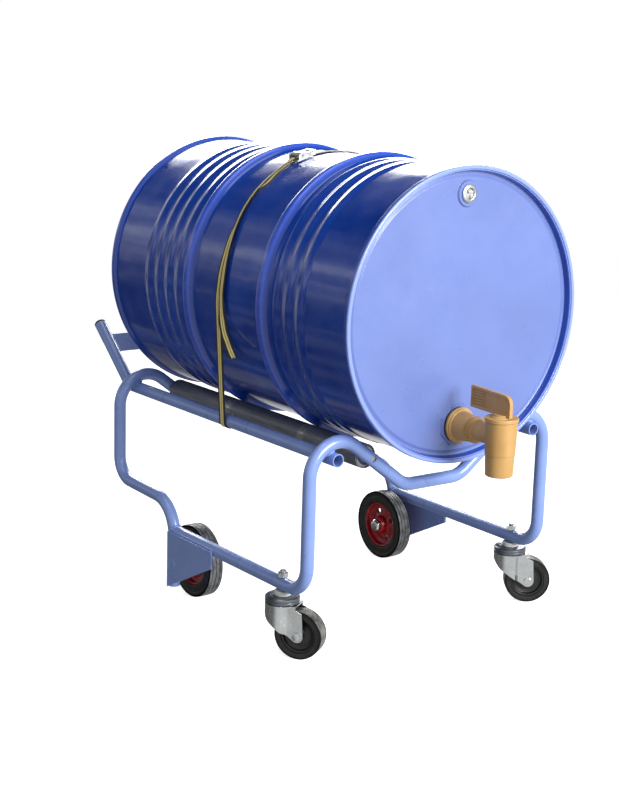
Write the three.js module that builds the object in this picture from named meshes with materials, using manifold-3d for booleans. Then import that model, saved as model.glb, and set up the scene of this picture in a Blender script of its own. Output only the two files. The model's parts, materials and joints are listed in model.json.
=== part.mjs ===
// Drum dolly: a bent-tube cradle on two fixed wheels and two casters, with a strapped drum and its tap.
// Millimetres, +Z up, +X to the right for someone who faces the tap, +Y towards the toe of the dolly.
// Sizes below are measured from the drum's axis (x = 0), from its front rim (y = 0) and from the floor
// (z = 0); the last lines move the finished object so that the origin is on the floor, under the middle
// of its box.
import * as THREE from "three";
import { mergeVertices } from "three/addons/utils/BufferGeometryUtils.js";
import Module from "manifold-3d";

const wasm = await Module();
wasm.setup();

// ---------- driving dimensions ----------
const GAP = 0.3; // between pieces that touch
const RUN = 0.35; // radial clearance of anything that turns

const AXIS_HEIGHT = 684; // the drum's axis above the floor
const DRUM_LENGTH = 880;
const DRUM_RADIUS = 286;
const DRUM_WALL = 1.5;
const CHIME_RISE = 6.5; // the rim's rolled chime above the drum's wall
const CHIME_WIDTH = 11;
const HEAD_RECESS = 15;
const HEAD_SHEET = 1.5;
const SEAT_RISE = 3.5; // the raised seats of the two bungs, forward of the head
const ROLLING_HOOP_RISE = 12;
const ROLLING_HOOPS = [285, 558];
const ROLLING_HOOP_HALF = 20;
const BEAD_RISE = 3;
const BEAD_PITCH = 40;
const BEADS = [3, 4]; // outside the front hoop, outside the rear hoop

const TUBE_RADIUS = 13.45;
const TUBE_WALL = 2.6;
const LEG_X = 307;
const FRONT_HOOP_Y = 83;
const REAR_HOOP_INSET = 68; // from the drum's rear rim forward to the rear hoop
const REAR_LEG_INSET = 240; // from the rear hoop forward to its two legs
const JOGGLE_RISE = 68; // of the rear hoop's low run above the rails
const SLOPE_ANGLE = THREE.MathUtils.degToRad(37);
const CRADLE_DROP = 67; // from the roller axles down to the flat middle of the cradle
const TOP_BEND = 67;
const CRADLE_BEND = 60;
const RAIL_BEND = 55;
const JOGGLE_BENDS = [50, 75]; // at the hoop, at the leg
const SIDE_TUBE_NOSE = 23.5; // of the side tubes ahead of the front hoop
const SIDE_TUBE_LEAN = THREE.MathUtils.degToRad(25);
const TOE_ANGLE = THREE.MathUtils.degToRad(40.3);
const TOE_LENGTH = 184;
const TOE_OVERHANG = 41.5; // from the rear hoop to where the side tubes turn up
const TOE_PLATE_WIDTH = 50;
const TOE_PLATE_THICKNESS = 5;
const TOE_PLATE_SETBACK = 34; // from the toe tubes' ends down to the plate
const TOE_BEND = 45;

const ROLLER_RADIUS = 25;
const ROLLER_WALL = 4;
const ROLLER_ANGLE = THREE.MathUtils.degToRad(29.8);
const ROLLER_AXLE_RADIUS = 6;
const ROLLER_BEARING_WIDTH = 12;
const ROLLER_END_PLAY = 2;

const PLATE_THICKNESS = 5;
const PLATE_LENGTH = 175;
const PLATE_REAR_DEPTH = 127;
const PLATE_FRONT_DEPTH = 37;
const PLATE_RISE = 2; // of the plate's top edge above the rail's middle
const AXLE_RADIUS = 8;
const AXLE_TO_LEG = 1.5;
const WHEEL_RADIUS = 80;
const TYRE_WIDTH = 32;
const TYRE_DEPTH = 27;
const WHEEL_INSET = 44; // from the legs in to the wheels
const HUB_WIDTH = 40;

const CASTER_SETBACK = 79; // from the front hoop back to the swivel
const CASTER_WHEEL_RADIUS = 50;
const CASTER_TYRE_WIDTH = 32;
const CASTER_TRAIL = 40;
const CASTER_CROWN_ROOM = 7.5; // between the wheel and the fork's crown
const RACE_HEIGHT = 8;
const BALL_ROOM = 6.5;
const CASTER_SPACER = 9.55; // from the race to the underside of the rail
const CASTER_YAW = { left: THREE.MathUtils.degToRad(33), right: THREE.MathUtils.degToRad(55) };
const CASTER_BOLT_RADIUS = 6;
const CASTER_AXLE_RADIUS = 5;
const CASTER_SIDE_ROOM = 3; // between the tyre and the fork's cheeks
const FORK_SHEET = 3;
const FORK_RADIUS = 35;

const TAP_DROP = 217; // below the drum's axis
const TAP_REACH = 113; // from the drum's front rim to the barrel's axis
const TAP_BARREL_TOP = 32;
const TAP_BARREL_FOOT = 27;
const TAP_BARREL_HEIGHT = 115;
const TAP_BARREL_RISE = 40; // of the barrel's top above the spout's axis
const TAP_PLUG_RADIUS = 21;
const TAP_PLUG_DEPTH = 70;
const TAP_PORT_RADIUS = 13;
const TAP_SPIGOT_RADIUS = 28;
const FLAG_LENGTH = 111;
const FLAG_HEIGHT = 42;
const FLAG_THICKNESS = 8;
const SMALL_BUNG_RISE = 237;
const SMALL_BUNG_RADIUS = 18;

const STRAP_Y = 443;
const STRAP_WIDTH = 25;
const STRAP_THICKNESS = 1.6;
const STRAP_LIFT = 1.2; // the strap's inner face above the drum
const BUCKLE_ANGLE = THREE.MathUtils.degToRad(-17);
const BUCKLE_LENGTH = 50;
const BUCKLE_WIDTH = 36;
const BUCKLE_SHEET = 1.8;
const BUCKLE_LIFT = 1.2;
const BUCKLE_PIN_RADIUS = 2.5;

// Sides of the round pieces: tubes and their bores, pins, hubs, wheels and the drum.
const TUBE_SIDES = 12;
const BORE_SIDES = 6;
const PIN_SIDES = 12;
const HUB_SIDES = 20;
const WHEEL_SIDES = 28;
const DRUM_SIDES = 40;

// ---------- finishes ----------
const finish = (color, roughness, metalness) =>
  new THREE.MeshStandardMaterial({ color, roughness, metalness });
const FINISH = {
  framePaint: finish(0x7f93d8, 0.3, 0.1),
  drumPaint: finish(0x17357f, 0.25, 0.2),
  redPaint: finish(0xa01020, 0.35, 0.1),
  rubber: finish(0x1c1b19, 0.75, 0),
  zinc: finish(0xa5a9ac, 0.35, 0.9),
  steel: finish(0xc4c4c0, 0.3, 0.95),
  rollerSteel: finish(0x5e5c58, 0.5, 0.6),
  blackPlastic: finish(0x1b1b1b, 0.5, 0),
  nylon: finish(0xe2e2dc, 0.5, 0),
  tapPlastic: finish(0xd7a650, 0.45, 0),
  webbing: finish(0xcdbb62, 0.9, 0),
};

// ---------- solids by code ----------
function toSolid(geometry) {
  const bare = geometry.index ? geometry.toNonIndexed() : geometry.clone();
  bare.deleteAttribute("normal");
  bare.deleteAttribute("uv");
  const merged = mergeVertices(bare, 1e-4);
  const triVerts = new Uint32Array(merged.index.array);
  const vertProperties = merged.attributes.position.array;
  return new wasm.Manifold(new wasm.Mesh({ numProp: 3, vertProperties, triVerts }));
}

function toGeometry(solid) {
  const { numProp, numVert, vertProperties, triVerts } = solid.getMesh();
  const position = new Float32Array(numVert * 3);
  for (let i = 0; i < numVert; i++) {
    position.set(vertProperties.subarray(i * numProp, i * numProp + 3), i * 3);
  }
  const geometry = new THREE.BufferGeometry();
  geometry.setAttribute("position", new THREE.BufferAttribute(position, 3));
  geometry.setIndex(new THREE.BufferAttribute(triVerts, 1));
  geometry.computeVertexNormals();
  return geometry;
}

const joined = (...pieces) => toGeometry(pieces.map(toSolid).reduce((all, piece) => all.add(piece)));
const cut = (piece, ...tools) =>
  toGeometry(tools.map(toSolid).reduce((rest, tool) => rest.subtract(tool), toSolid(piece)));
const common = (a, b) => toGeometry(toSolid(a).intersect(toSolid(b)));

// A profile of [radius, height] turned round the Z axis, its outer side listed upwards.
function turned(profile, segments = HUB_SIDES) {
  const points = profile.map(([radius, height]) => new THREE.Vector2(radius, height));
  return new THREE.LatheGeometry(points, segments).rotateX(Math.PI / 2);
}

const rod = (radius, from, to, segments = PIN_SIDES) =>
  turned([[0, from], [radius, from], [radius, to], [0, to]], segments);

const ring = (inner, outer, from, to, segments = HUB_SIDES) =>
  turned([[inner, from], [outer, from], [outer, to], [inner, to], [inner, from]], segments);

// Turns what was made along +Z to lie along another direction, and moves it.
function aimed(geometry, direction, position) {
  const up = new THREE.Vector3(0, 0, 1);
  const turn = new THREE.Quaternion().setFromUnitVectors(up, direction.clone().normalize());
  return geometry.applyQuaternion(turn).translate(position.x, position.y, position.z);
}

const vec = (x, y, z) => new THREE.Vector3(x, y, z);
const ALONG_X = vec(1, 0, 0);
const ALONG_Y = vec(0, 1, 0);

function box(x0, x1, y0, y1, z0, z1) {
  const block = new THREE.BoxGeometry(x1 - x0, y1 - y0, z1 - z0);
  return block.translate((x0 + x1) / 2, (y0 + y1) / 2, (z0 + z1) / 2);
}

// A flat outline in [across, up] raised to a plate between two depths along one axis of the frame.
function slab(outline, from, to, toFrame) {
  const settings = { depth: to - from, bevelEnabled: false, curveSegments: 8 };
  const plate = new THREE.ExtrudeGeometry(outline, settings);
  return plate.translate(0, 0, from).applyMatrix4(toFrame);
}
const ACROSS_YZ = new THREE.Matrix4().makeBasis(vec(0, 1, 0), vec(0, 0, 1), vec(1, 0, 0));
const ACROSS_XZ = new THREE.Matrix4().makeBasis(vec(1, 0, 0), vec(0, 0, 1), vec(0, -1, 0));

const polygon = (points) => new THREE.Shape(points.map(([x, y]) => new THREE.Vector2(x, y)));

function hexagon(acrossFlats, from, to) {
  return rod(acrossFlats / Math.sqrt(3), from, to, 6);
}

// A path of straight runs and round bends. Each corner is a point with the radius of its bend.
class BentPath extends THREE.Curve {
  constructor(corners, stepAngle = 0.42) {
    super();
    this.stations = [];
    const last = corners.length - 1;
    corners.forEach(({ at, bend }, i) => {
      if (i === 0 || i === last) {
        const other = corners[i === 0 ? 1 : last - 1].at;
        const along = i === 0 ? other.clone().sub(at) : at.clone().sub(other);
        this.stations.push({ at: at.clone(), along: along.normalize() });
        return;
      }
      const into = at.clone().sub(corners[i - 1].at).normalize();
      const out = corners[i + 1].at.clone().sub(at).normalize();
      const turn = into.angleTo(out);
      const tangent = bend * Math.tan(turn / 2);
      const start = at.clone().addScaledVector(into, -tangent);
      const axis = into.clone().cross(out).normalize();
      const centre = start.clone().addScaledVector(axis.clone().cross(into), bend);
      const steps = Math.max(2, Math.ceil(turn / stepAngle));
      for (let k = 0; k <= steps; k++) {
        const part = new THREE.Quaternion().setFromAxisAngle(axis, (turn * k) / steps);
        const arm = start.clone().sub(centre).applyQuaternion(part);
        this.stations.push({ at: centre.clone().add(arm), along: into.clone().applyQuaternion(part) });
      }
    });
  }
  station(u) {
    return this.stations[Math.round(u * (this.stations.length - 1))];
  }
  getPointAt(u) {
    return this.station(u).at.clone();
  }
  getTangentAt(u) {
    return this.station(u).along.clone();
  }
  get steps() {
    return this.stations.length - 1;
  }
}

const corner = (x, y, z, bend = 0) => ({ at: vec(x, y, z), bend });

function circle(radius, sides) {
  const points = [];
  for (let i = 0; i < sides; i++) {
    const angle = (2 * Math.PI * i) / sides;
    points.push(new THREE.Vector2(radius * Math.cos(angle), radius * Math.sin(angle)));
  }
  return points;
}

function bentTube(corners) {
  const path = new BentPath(corners);
  const section = new THREE.Shape(circle(TUBE_RADIUS, TUBE_SIDES));
  section.holes.push(new THREE.Path(circle(TUBE_RADIUS - TUBE_WALL, BORE_SIDES)));
  return new THREE.ExtrudeGeometry(section, { steps: path.steps, extrudePath: path });
}

// ---------- places that several pieces share ----------
const chimeRadius = DRUM_RADIUS + CHIME_RISE;
const rearHoopY = DRUM_LENGTH - REAR_HOOP_INSET;
const rearLegY = rearHoopY - REAR_LEG_INSET;
const casterY = FRONT_HOOP_Y + CASTER_SETBACK;
const crownTop = 2 * CASTER_WHEEL_RADIUS + CASTER_CROWN_ROOM + FORK_SHEET;
const raceFoot = crownTop + BALL_ROOM;
const raceTop = raceFoot + RACE_HEIGHT;
const railHeight = raceTop + CASTER_SPACER + TUBE_RADIUS;
const rollerDistance = DRUM_RADIUS + ROLLING_HOOP_RISE + ROLLER_RADIUS + GAP + 0.1;
const rollerX = rollerDistance * Math.sin(ROLLER_ANGLE);
const rollerZ = AXIS_HEIGHT - rollerDistance * Math.cos(ROLLER_ANGLE);
const cradleZ = rollerZ - CRADLE_DROP;
const slope = Math.tan(SLOPE_ANGLE);
const cradleCornerX = rollerX - CRADLE_DROP / slope;
const topCornerZ = rollerZ + (LEG_X - rollerX) * slope;
const topTurn = Math.PI / 2 + SLOPE_ANGLE;
const topArcX = LEG_X - TOP_BEND;
const topArcZ = topCornerZ - TOP_BEND * Math.tan(topTurn / 2);
const sideTubeArm = TOP_BEND - 2 * TUBE_RADIUS - GAP;
const sideTubeX = topArcX + sideTubeArm * Math.sin(SIDE_TUBE_LEAN);
const sideTubeZ = topArcZ + sideTubeArm * Math.cos(SIDE_TUBE_LEAN);
const toeCornerY = rearHoopY + TOE_OVERHANG;
const toeAlong = vec(0, Math.cos(TOE_ANGLE), Math.sin(TOE_ANGLE));
const toeEnd = (side) => vec(side * sideTubeX, toeCornerY, sideTubeZ).addScaledVector(toeAlong, TOE_LENGTH);
const plateInnerX = LEG_X + TUBE_RADIUS + GAP;
const plateOuterX = plateInnerX + PLATE_THICKNESS;
const plateTop = railHeight + PLATE_RISE;
const rearFootZ = plateTop - PLATE_REAR_DEPTH;
const axleY = rearLegY - TUBE_RADIUS - AXLE_RADIUS - AXLE_TO_LEG;
const wheelX = LEG_X - WHEEL_INSET;
const seatFace = HEAD_RECESS - SEAT_RISE - GAP; // behind the rim; what is screwed into a seat rests on it

const root = new THREE.Group();

function add(name, geometry, material, parent = root) {
  const mesh = new THREE.Mesh(geometry, material);
  mesh.name = name;
  parent.add(mesh);
  return mesh;
}

const SIDES = [["left", -1], ["right", 1]];

// ---------- frame ----------
// The half of a cradle hoop from the middle out to the top of one leg.
const cradleHalf = (side, y) => [
  corner(side * cradleCornerX, y, cradleZ, CRADLE_BEND),
  corner(side * LEG_X, y, topCornerZ, TOP_BEND),
];

function axleHoles(y) {
  return SIDES.map(([, side]) => {
    const drill = rod(ROLLER_AXLE_RADIUS + RUN, -30, 30);
    return aimed(drill, ALONG_Y, vec(side * rollerX, y, rollerZ));
  });
}

function frontFrameTube() {
  const railEnd = (side) => [
    corner(side * LEG_X, FRONT_HOOP_Y, railHeight, RAIL_BEND),
    corner(side * LEG_X, rearLegY, railHeight),
  ];
  const corners = [
    ...railEnd(-1).reverse(),
    ...cradleHalf(-1, FRONT_HOOP_Y).reverse(),
    ...cradleHalf(1, FRONT_HOOP_Y),
    ...railEnd(1),
  ];
  const boltHoles = SIDES.map(([, side]) => {
    const drill = rod(CASTER_BOLT_RADIUS + GAP, -30, 30);
    return drill.translate(side * LEG_X, casterY, railHeight);
  });
  const legCopes = SIDES.map(([, side]) => {
    const cope = rod(TUBE_RADIUS + GAP, -60, 60, TUBE_SIDES * 2);
    return cope.translate(side * LEG_X, rearLegY, railHeight);
  });
  return cut(bentTube(corners), ...axleHoles(FRONT_HOOP_Y), ...boltHoles, ...legCopes);
}

function rearFrameTube() {
  const leg = (side) => [
    corner(side * LEG_X, rearHoopY, railHeight + JOGGLE_RISE, JOGGLE_BENDS[0]),
    corner(side * LEG_X, rearLegY, railHeight + JOGGLE_RISE - 8, JOGGLE_BENDS[1]),
    corner(side * LEG_X, rearLegY, rearFootZ),
  ];
  const corners = [
    ...leg(-1).reverse(),
    ...cradleHalf(-1, rearHoopY).reverse(),
    ...cradleHalf(1, rearHoopY),
    ...leg(1),
  ];
  return cut(bentTube(corners), ...axleHoles(rearHoopY));
}

function sideTube(side) {
  return bentTube([
    corner(side * sideTubeX, FRONT_HOOP_Y - SIDE_TUBE_NOSE, sideTubeZ),
    corner(side * sideTubeX, toeCornerY, sideTubeZ, TOE_BEND),
    { at: toeEnd(side), bend: 0 },
  ]);
}

function toePlug(side) {
  const spigot = (TUBE_RADIUS - TUBE_WALL) * Math.cos(Math.PI / BORE_SIDES) - GAP;
  const dome = [
    [0, -16], [spigot, -16], [spigot, GAP], [TUBE_RADIUS, GAP], [TUBE_RADIUS, 3.5],
    [TUBE_RADIUS - 2.5, 6], [0, 6.6],
  ];
  return aimed(turned(dome, PIN_SIDES), toeAlong, toeEnd(side));
}

function toePlate() {
  const middle = TOE_LENGTH - TOE_PLATE_SETBACK - TOE_PLATE_WIDTH / 2;
  const halfWidth = TOE_PLATE_WIDTH / 2;
  const halfSheet = TOE_PLATE_THICKNESS / 2;
  const bar = box(-sideTubeX, sideTubeX, -halfWidth, halfWidth, -halfSheet, halfSheet);
  const at = vec(0, toeCornerY, sideTubeZ).addScaledVector(toeAlong, middle);
  bar.rotateX(TOE_ANGLE).translate(at.x, at.y, at.z);
  const copes = SIDES.map(([, side]) => {
    const cope = rod(TUBE_RADIUS + GAP, -TOE_LENGTH * 0.65, 20, TUBE_SIDES * 2);
    return aimed(cope, toeAlong, toeEnd(side));
  });
  return cut(bar, ...copes);
}

add("front_frame_tube", frontFrameTube(), FINISH.framePaint);
add("rear_frame_tube", rearFrameTube(), FINISH.framePaint);
add("toe_plate", toePlate(), FINISH.framePaint);
for (const [name, side] of SIDES) {
  add(name + "_side_tube", sideTube(side), FINISH.framePaint);
  add(name + "_toe_plug", toePlug(side), FINISH.blackPlastic);
}

// ---------- rollers ----------
const rollerStart = FRONT_HOOP_Y + TUBE_RADIUS + ROLLER_END_PLAY;
const rollerEnd = rearHoopY - TUBE_RADIUS - ROLLER_END_PLAY;

for (const [name, side] of SIDES) {
  const at = vec(side * rollerX, 0, rollerZ);
  const along = (geometry) => aimed(geometry, ALONG_Y, at);
  const bore = ROLLER_RADIUS - ROLLER_WALL;
  const bearing = (from) => ring(ROLLER_AXLE_RADIUS + RUN, bore - GAP, from, from + ROLLER_BEARING_WIDTH);
  const tube = ring(bore, ROLLER_RADIUS, rollerStart, rollerEnd, WHEEL_SIDES);
  add(name + "_roller_tube", along(tube), FINISH.rollerSteel);
  add(name + "_roller_front_bearing", along(bearing(rollerStart + 1)), FINISH.steel);
  add(name + "_roller_rear_bearing", along(bearing(rollerEnd - 1 - ROLLER_BEARING_WIDTH)), FINISH.steel);
  const axle = rod(ROLLER_AXLE_RADIUS, FRONT_HOOP_Y - TUBE_RADIUS + 3, rearHoopY + TUBE_RADIUS - 3);
  add(name + "_roller_axle", along(axle), FINISH.steel);
}

// ---------- wheel plates, rear axles and wheels ----------
function wheelPlate(side) {
  const outline = polygon([
    [rearLegY - PLATE_LENGTH, plateTop],
    [rearLegY - PLATE_LENGTH, plateTop - PLATE_FRONT_DEPTH],
    [rearLegY, rearFootZ],
    [rearLegY, plateTop],
  ]);
  const [from, to] = side > 0 ? [plateInnerX, plateOuterX] : [-plateOuterX, -plateInnerX];
  const drill = rod(AXLE_RADIUS + GAP, plateInnerX - 5, plateOuterX + 5);
  return cut(slab(outline, from, to, ACROSS_YZ), aimed(drill, vec(side, 0, 0), vec(0, axleY, WHEEL_RADIUS)));
}

// A tyre's section between its rim radius and its tread radius, with round shoulders.
function tyreProfile(rim, tread, width, shoulder) {
  const half = width / 2;
  const points = [[rim, -half + 2], [rim + 2, -half], [tread - shoulder, -half]];
  points.push([tread - shoulder * 0.29, -half + shoulder * 0.29]);
  points.push([tread, -half + shoulder]);
  const upper = points.map(([radius, height]) => [radius, -height]).reverse();
  return [...points, ...upper, points[0]];
}

function rearHub() {
  const rim = WHEEL_RADIUS - TYRE_DEPTH - GAP;
  const half = HUB_WIDTH / 2;
  const web = 2.5;
  const bore = AXLE_RADIUS + 5 + GAP;
  const disc = turned([
    [bore, -half], [bore + 5, -half], [bore + 9, -web - 3], [rim - 10, -web], [rim - 4, -13], [rim, -13],
    [rim, 13], [rim - 4, 13], [rim - 10, web], [bore + 9, web + 3], [bore + 5, half], [bore, half],
    [bore, -half],
  ], WHEEL_SIDES);
  const slots = [];
  for (let i = 0; i < 4; i++) {
    const angle = Math.PI / 3 + (i * Math.PI) / 2;
    slots.push(box(-7, 7, -5, 5, -30, 30).translate(0, 33, 0).rotateZ(angle));
  }
  return cut(disc, ...slots);
}

for (const [name, side] of SIDES) {
  const at = vec(side * wheelX, axleY, WHEEL_RADIUS);
  const outward = vec(side, 0, 0);
  const onWheel = (geometry) => aimed(geometry, outward, at);
  const inboardEnd = -HUB_WIDTH / 2 - 6;
  const outboardEnd = plateOuterX + 1 - wheelX;
  add(name + "_wheel_plate", wheelPlate(side), FINISH.framePaint);
  const tyre = turned(tyreProfile(WHEEL_RADIUS - TYRE_DEPTH, WHEEL_RADIUS, TYRE_WIDTH, 8), WHEEL_SIDES);
  add(name + "_rear_tyre", onWheel(tyre), FINISH.rubber);
  add(name + "_rear_hub", onWheel(rearHub()), FINISH.redPaint);
  const bearing = ring(AXLE_RADIUS + RUN, AXLE_RADIUS + 5, -HUB_WIDTH / 2 + 1, HUB_WIDTH / 2 - 1);
  add(name + "_rear_bearing", onWheel(bearing), FINISH.steel);
  add(name + "_rear_axle", onWheel(rod(AXLE_RADIUS, inboardEnd, outboardEnd)), FINISH.steel);
  const cap = turned([
    [0, inboardEnd - 6], [9, inboardEnd - 5], [14, inboardEnd], [14, inboardEnd + 5],
    [AXLE_RADIUS + GAP, inboardEnd + 5], [AXLE_RADIUS + GAP, inboardEnd - GAP], [0, inboardEnd - GAP],
  ]);
  add(name + "_axle_cap", onWheel(cap), FINISH.steel);
}

// ---------- casters ----------
const boltTop = railHeight + TUBE_RADIUS + 15;
const forkOuter = CASTER_TYRE_WIDTH / 2 + CASTER_SIDE_ROOM + FORK_SHEET;

function casterFork() {
  const axleZ = CASTER_WHEEL_RADIUS;
  const outline = (inset) => {
    const radius = FORK_RADIUS - inset;
    const sideways = forkOuter - inset;
    const half = [];
    for (let i = 0; i <= 5; i++) {
      const angle = THREE.MathUtils.degToRad(i * 21);
      half.push([radius * Math.sin(angle), radius * Math.cos(angle)]);
    }
    half.push([sideways + 2, -16], [sideways, -20], [sideways, -CASTER_TRAIL - 20]);
    const mirrored = half.slice(1).map(([x, y]) => [-x, y]);
    return polygon([...half.reverse(), ...mirrored]);
  };
  const raised = (inset, from, to) =>
    slab(outline(inset), from, to, new THREE.Matrix4());
  const shell = cut(raised(0, 0, crownTop), raised(FORK_SHEET, -5, crownTop - FORK_SHEET));
  const foot = 13;
  const side = new THREE.Shape();
  side.moveTo(FORK_RADIUS + 1, crownTop + 1);
  side.lineTo(FORK_RADIUS + 1, crownTop - 12);
  side.quadraticCurveTo(FORK_RADIUS - 6, crownTop - 32, 14, axleZ + 22);
  side.lineTo(-CASTER_TRAIL + foot * 0.7, axleZ - foot * 0.7);
  side.absarc(-CASTER_TRAIL, axleZ, foot, -Math.PI / 4, -Math.PI, true);
  side.lineTo(-CASTER_TRAIL - foot + 3, crownTop - 14);
  side.lineTo(-FORK_RADIUS - 1, crownTop - 8);
  side.lineTo(-FORK_RADIUS - 1, crownTop + 1);
  const prism = slab(side, -60, 60, ACROSS_YZ);
  const kingHole = rod(16, crownTop - 10, crownTop + 5, HUB_SIDES);
  const axleHole = aimed(rod(CASTER_AXLE_RADIUS + GAP, -60, 60), ALONG_X, vec(0, -CASTER_TRAIL, axleZ));
  const crownDisc = ring(16, FORK_RADIUS, crownTop - FORK_SHEET, crownTop, HUB_SIDES);
  return cut(joined(common(shell, prism), crownDisc), kingHole, axleHole);
}

for (const [name, side] of SIDES) {
  const stand = new THREE.Group();
  stand.position.set(side * LEG_X, casterY, 0);
  root.add(stand);
  const swivel = new THREE.Group();
  swivel.rotation.z = CASTER_YAW[name];
  stand.add(swivel);

  const spacerTop = railHeight - TUBE_RADIUS - GAP;
  const spacer = ring(CASTER_BOLT_RADIUS + GAP, 17, raceTop + GAP, spacerTop, PIN_SIDES);
  add(name + "_caster_spacer", spacer, FINISH.nylon, stand);
  const race = turned([
    [CASTER_BOLT_RADIUS + GAP, raceFoot], [29, raceFoot], [31, raceFoot - 5], [FORK_RADIUS, raceFoot - 5],
    [FORK_RADIUS, raceTop - 3], [FORK_RADIUS - 3, raceTop], [CASTER_BOLT_RADIUS + GAP, raceTop],
    [CASTER_BOLT_RADIUS + GAP, raceFoot],
  ]);
  add(name + "_caster_race", race, FINISH.zinc, stand);
  const head = hexagon(19, raceFoot - GAP - 7.5, raceFoot - GAP);
  const shank = rod(CASTER_BOLT_RADIUS, raceFoot - GAP - 1, boltTop);
  add(name + "_caster_bolt", joined(head, shank), FINISH.zinc, stand);
  const nutFoot = railHeight + TUBE_RADIUS + GAP;
  const nutBore = rod(CASTER_BOLT_RADIUS + GAP, nutFoot - 1, nutFoot + 12);
  const nut = cut(hexagon(19, nutFoot, nutFoot + 10), nutBore);
  add(name + "_caster_nut", nut, FINISH.zinc, stand);

  const balls = new THREE.TorusGeometry(24, 2.6, 5, PIN_SIDES).translate(0, 0, (raceFoot + crownTop) / 2);
  add(name + "_caster_ball_ring", balls, FINISH.steel, swivel);
  add(name + "_caster_fork", casterFork(), FINISH.zinc, swivel);
  const hubCentre = vec(0, -CASTER_TRAIL, CASTER_WHEEL_RADIUS);
  const onAxle = (geometry) => aimed(geometry, vec(-1, 0, 0), hubCentre);
  const axleHead = hexagon(15, forkOuter + GAP, forkOuter + GAP + 5);
  const axleBolt = joined(axleHead, rod(CASTER_AXLE_RADIUS, -forkOuter - 9, forkOuter + GAP + 1));
  add(name + "_caster_axle_bolt", onAxle(axleBolt), FINISH.zinc, swivel);
  const axleNutBore = rod(CASTER_AXLE_RADIUS + GAP, -forkOuter - 10, -forkOuter + 5);
  const axleNut = cut(hexagon(15, -forkOuter - GAP - 6, -forkOuter - GAP), axleNutBore);
  add(name + "_caster_axle_nut", onAxle(axleNut), FINISH.zinc, swivel);

  const coreRadius = CASTER_WHEEL_RADIUS - 13;
  const hubHalf = CASTER_TYRE_WIDTH / 2 + CASTER_SIDE_ROOM - 1;
  const bore = CASTER_AXLE_RADIUS + RUN;
  const core = turned([
    [bore, -hubHalf], [11, -hubHalf], [12, -7], [coreRadius - 4, -7], [coreRadius - 3, -13],
    [coreRadius - GAP, -13], [coreRadius - GAP, 13], [coreRadius - 3, 13], [coreRadius - 4, 7], [12, 7],
    [11, hubHalf], [bore, hubHalf], [bore, -hubHalf],
  ], WHEEL_SIDES);
  add(name + "_caster_wheel_core", onAxle(core), FINISH.blackPlastic, swivel);
  const tyre = turned(tyreProfile(coreRadius, CASTER_WHEEL_RADIUS, CASTER_TYRE_WIDTH, 8), WHEEL_SIDES);
  add(name + "_caster_tyre", onAxle(tyre), FINISH.rubber, swivel);
}

// ---------- drum ----------
const drum = new THREE.Group();
drum.position.set(0, 0, AXIS_HEIGHT);
root.add(drum);

function drumShell() {
  const wall = (length, radius) => [radius, length];
  const swell = (middle, half, rise) => [
    wall(middle - half, DRUM_RADIUS),
    wall(middle - half * 0.25, DRUM_RADIUS + rise),
    wall(middle + half * 0.25, DRUM_RADIUS + rise),
    wall(middle + half, DRUM_RADIUS),
  ];
  // Beads stand side by side, so one bead's outer foot is its neighbour's inner foot.
  const beads = (first, count, step) => {
    const points = [];
    for (let i = 0; i < count; i++) {
      points.push(wall(first + (i - 0.5) * step, DRUM_RADIUS));
      points.push(wall(first + i * step, DRUM_RADIUS + BEAD_RISE));
    }
    points.push(wall(first + (count - 0.5) * step, DRUM_RADIUS));
    return step > 0 ? points : points.reverse();
  };
  const outer = [wall(0, chimeRadius - 3), wall(1, chimeRadius)];
  outer.push(wall(CHIME_WIDTH, chimeRadius), wall(CHIME_WIDTH + 4, DRUM_RADIUS));
  outer.push(...beads(ROLLING_HOOPS[0] - BEAD_PITCH - 4, BEADS[0], -BEAD_PITCH));
  outer.push(...swell(ROLLING_HOOPS[0], ROLLING_HOOP_HALF, ROLLING_HOOP_RISE));
  outer.push(...swell(ROLLING_HOOPS[1], ROLLING_HOOP_HALF, ROLLING_HOOP_RISE));
  outer.push(...beads(ROLLING_HOOPS[1] + BEAD_PITCH + 4, BEADS[1], BEAD_PITCH));
  const end = DRUM_LENGTH;
  outer.push(wall(end - CHIME_WIDTH - 4, DRUM_RADIUS), wall(end - CHIME_WIDTH, chimeRadius));
  outer.push(wall(end - 1, chimeRadius), wall(end, chimeRadius - 3));
  const inside = DRUM_RADIUS - DRUM_WALL;
  const inner = [wall(end, inside), wall(0, inside), wall(0, chimeRadius - 3)];
  return aimed(turned([...outer, ...inner], DRUM_SIDES), ALONG_Y, vec(0, 0, 0));
}

const headRadius = DRUM_RADIUS - DRUM_WALL - GAP - 0.7; // the shell's facets come 0.7 inside its round wall

// A drum end with a stiff upturned edge that reaches to the rim, made lying on its outer face.
function headDisc() {
  return turned([
    [0, 0], [headRadius - 14, 0], [headRadius - 6, 3], [headRadius - 2, 2 - HEAD_RECESS],
    [headRadius, 2 - HEAD_RECESS], [headRadius, 6], [headRadius - 14, HEAD_SHEET], [0, HEAD_SHEET],
  ], DRUM_SIDES);
}

function frontHead() {
  const tapSeat = rod(43, -SEAT_RISE, HEAD_SHEET, 8).rotateZ(Math.PI / 8).translate(0, TAP_DROP, 0);
  const bungSeat = rod(24.5, -SEAT_RISE, HEAD_SHEET, HUB_SIDES).translate(0, -SMALL_BUNG_RISE, 0);
  const tapHole = rod(TAP_SPIGOT_RADIUS + GAP, -10, 10, HUB_SIDES).translate(0, TAP_DROP, 0);
  const bungHole = rod(SMALL_BUNG_RADIUS - 5 + GAP, -10, 10).translate(0, -SMALL_BUNG_RISE, 0);
  const pressed = cut(joined(headDisc(), tapSeat, bungSeat), tapHole, bungHole);
  return aimed(pressed, ALONG_Y, vec(0, HEAD_RECESS, 0));
}

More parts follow.
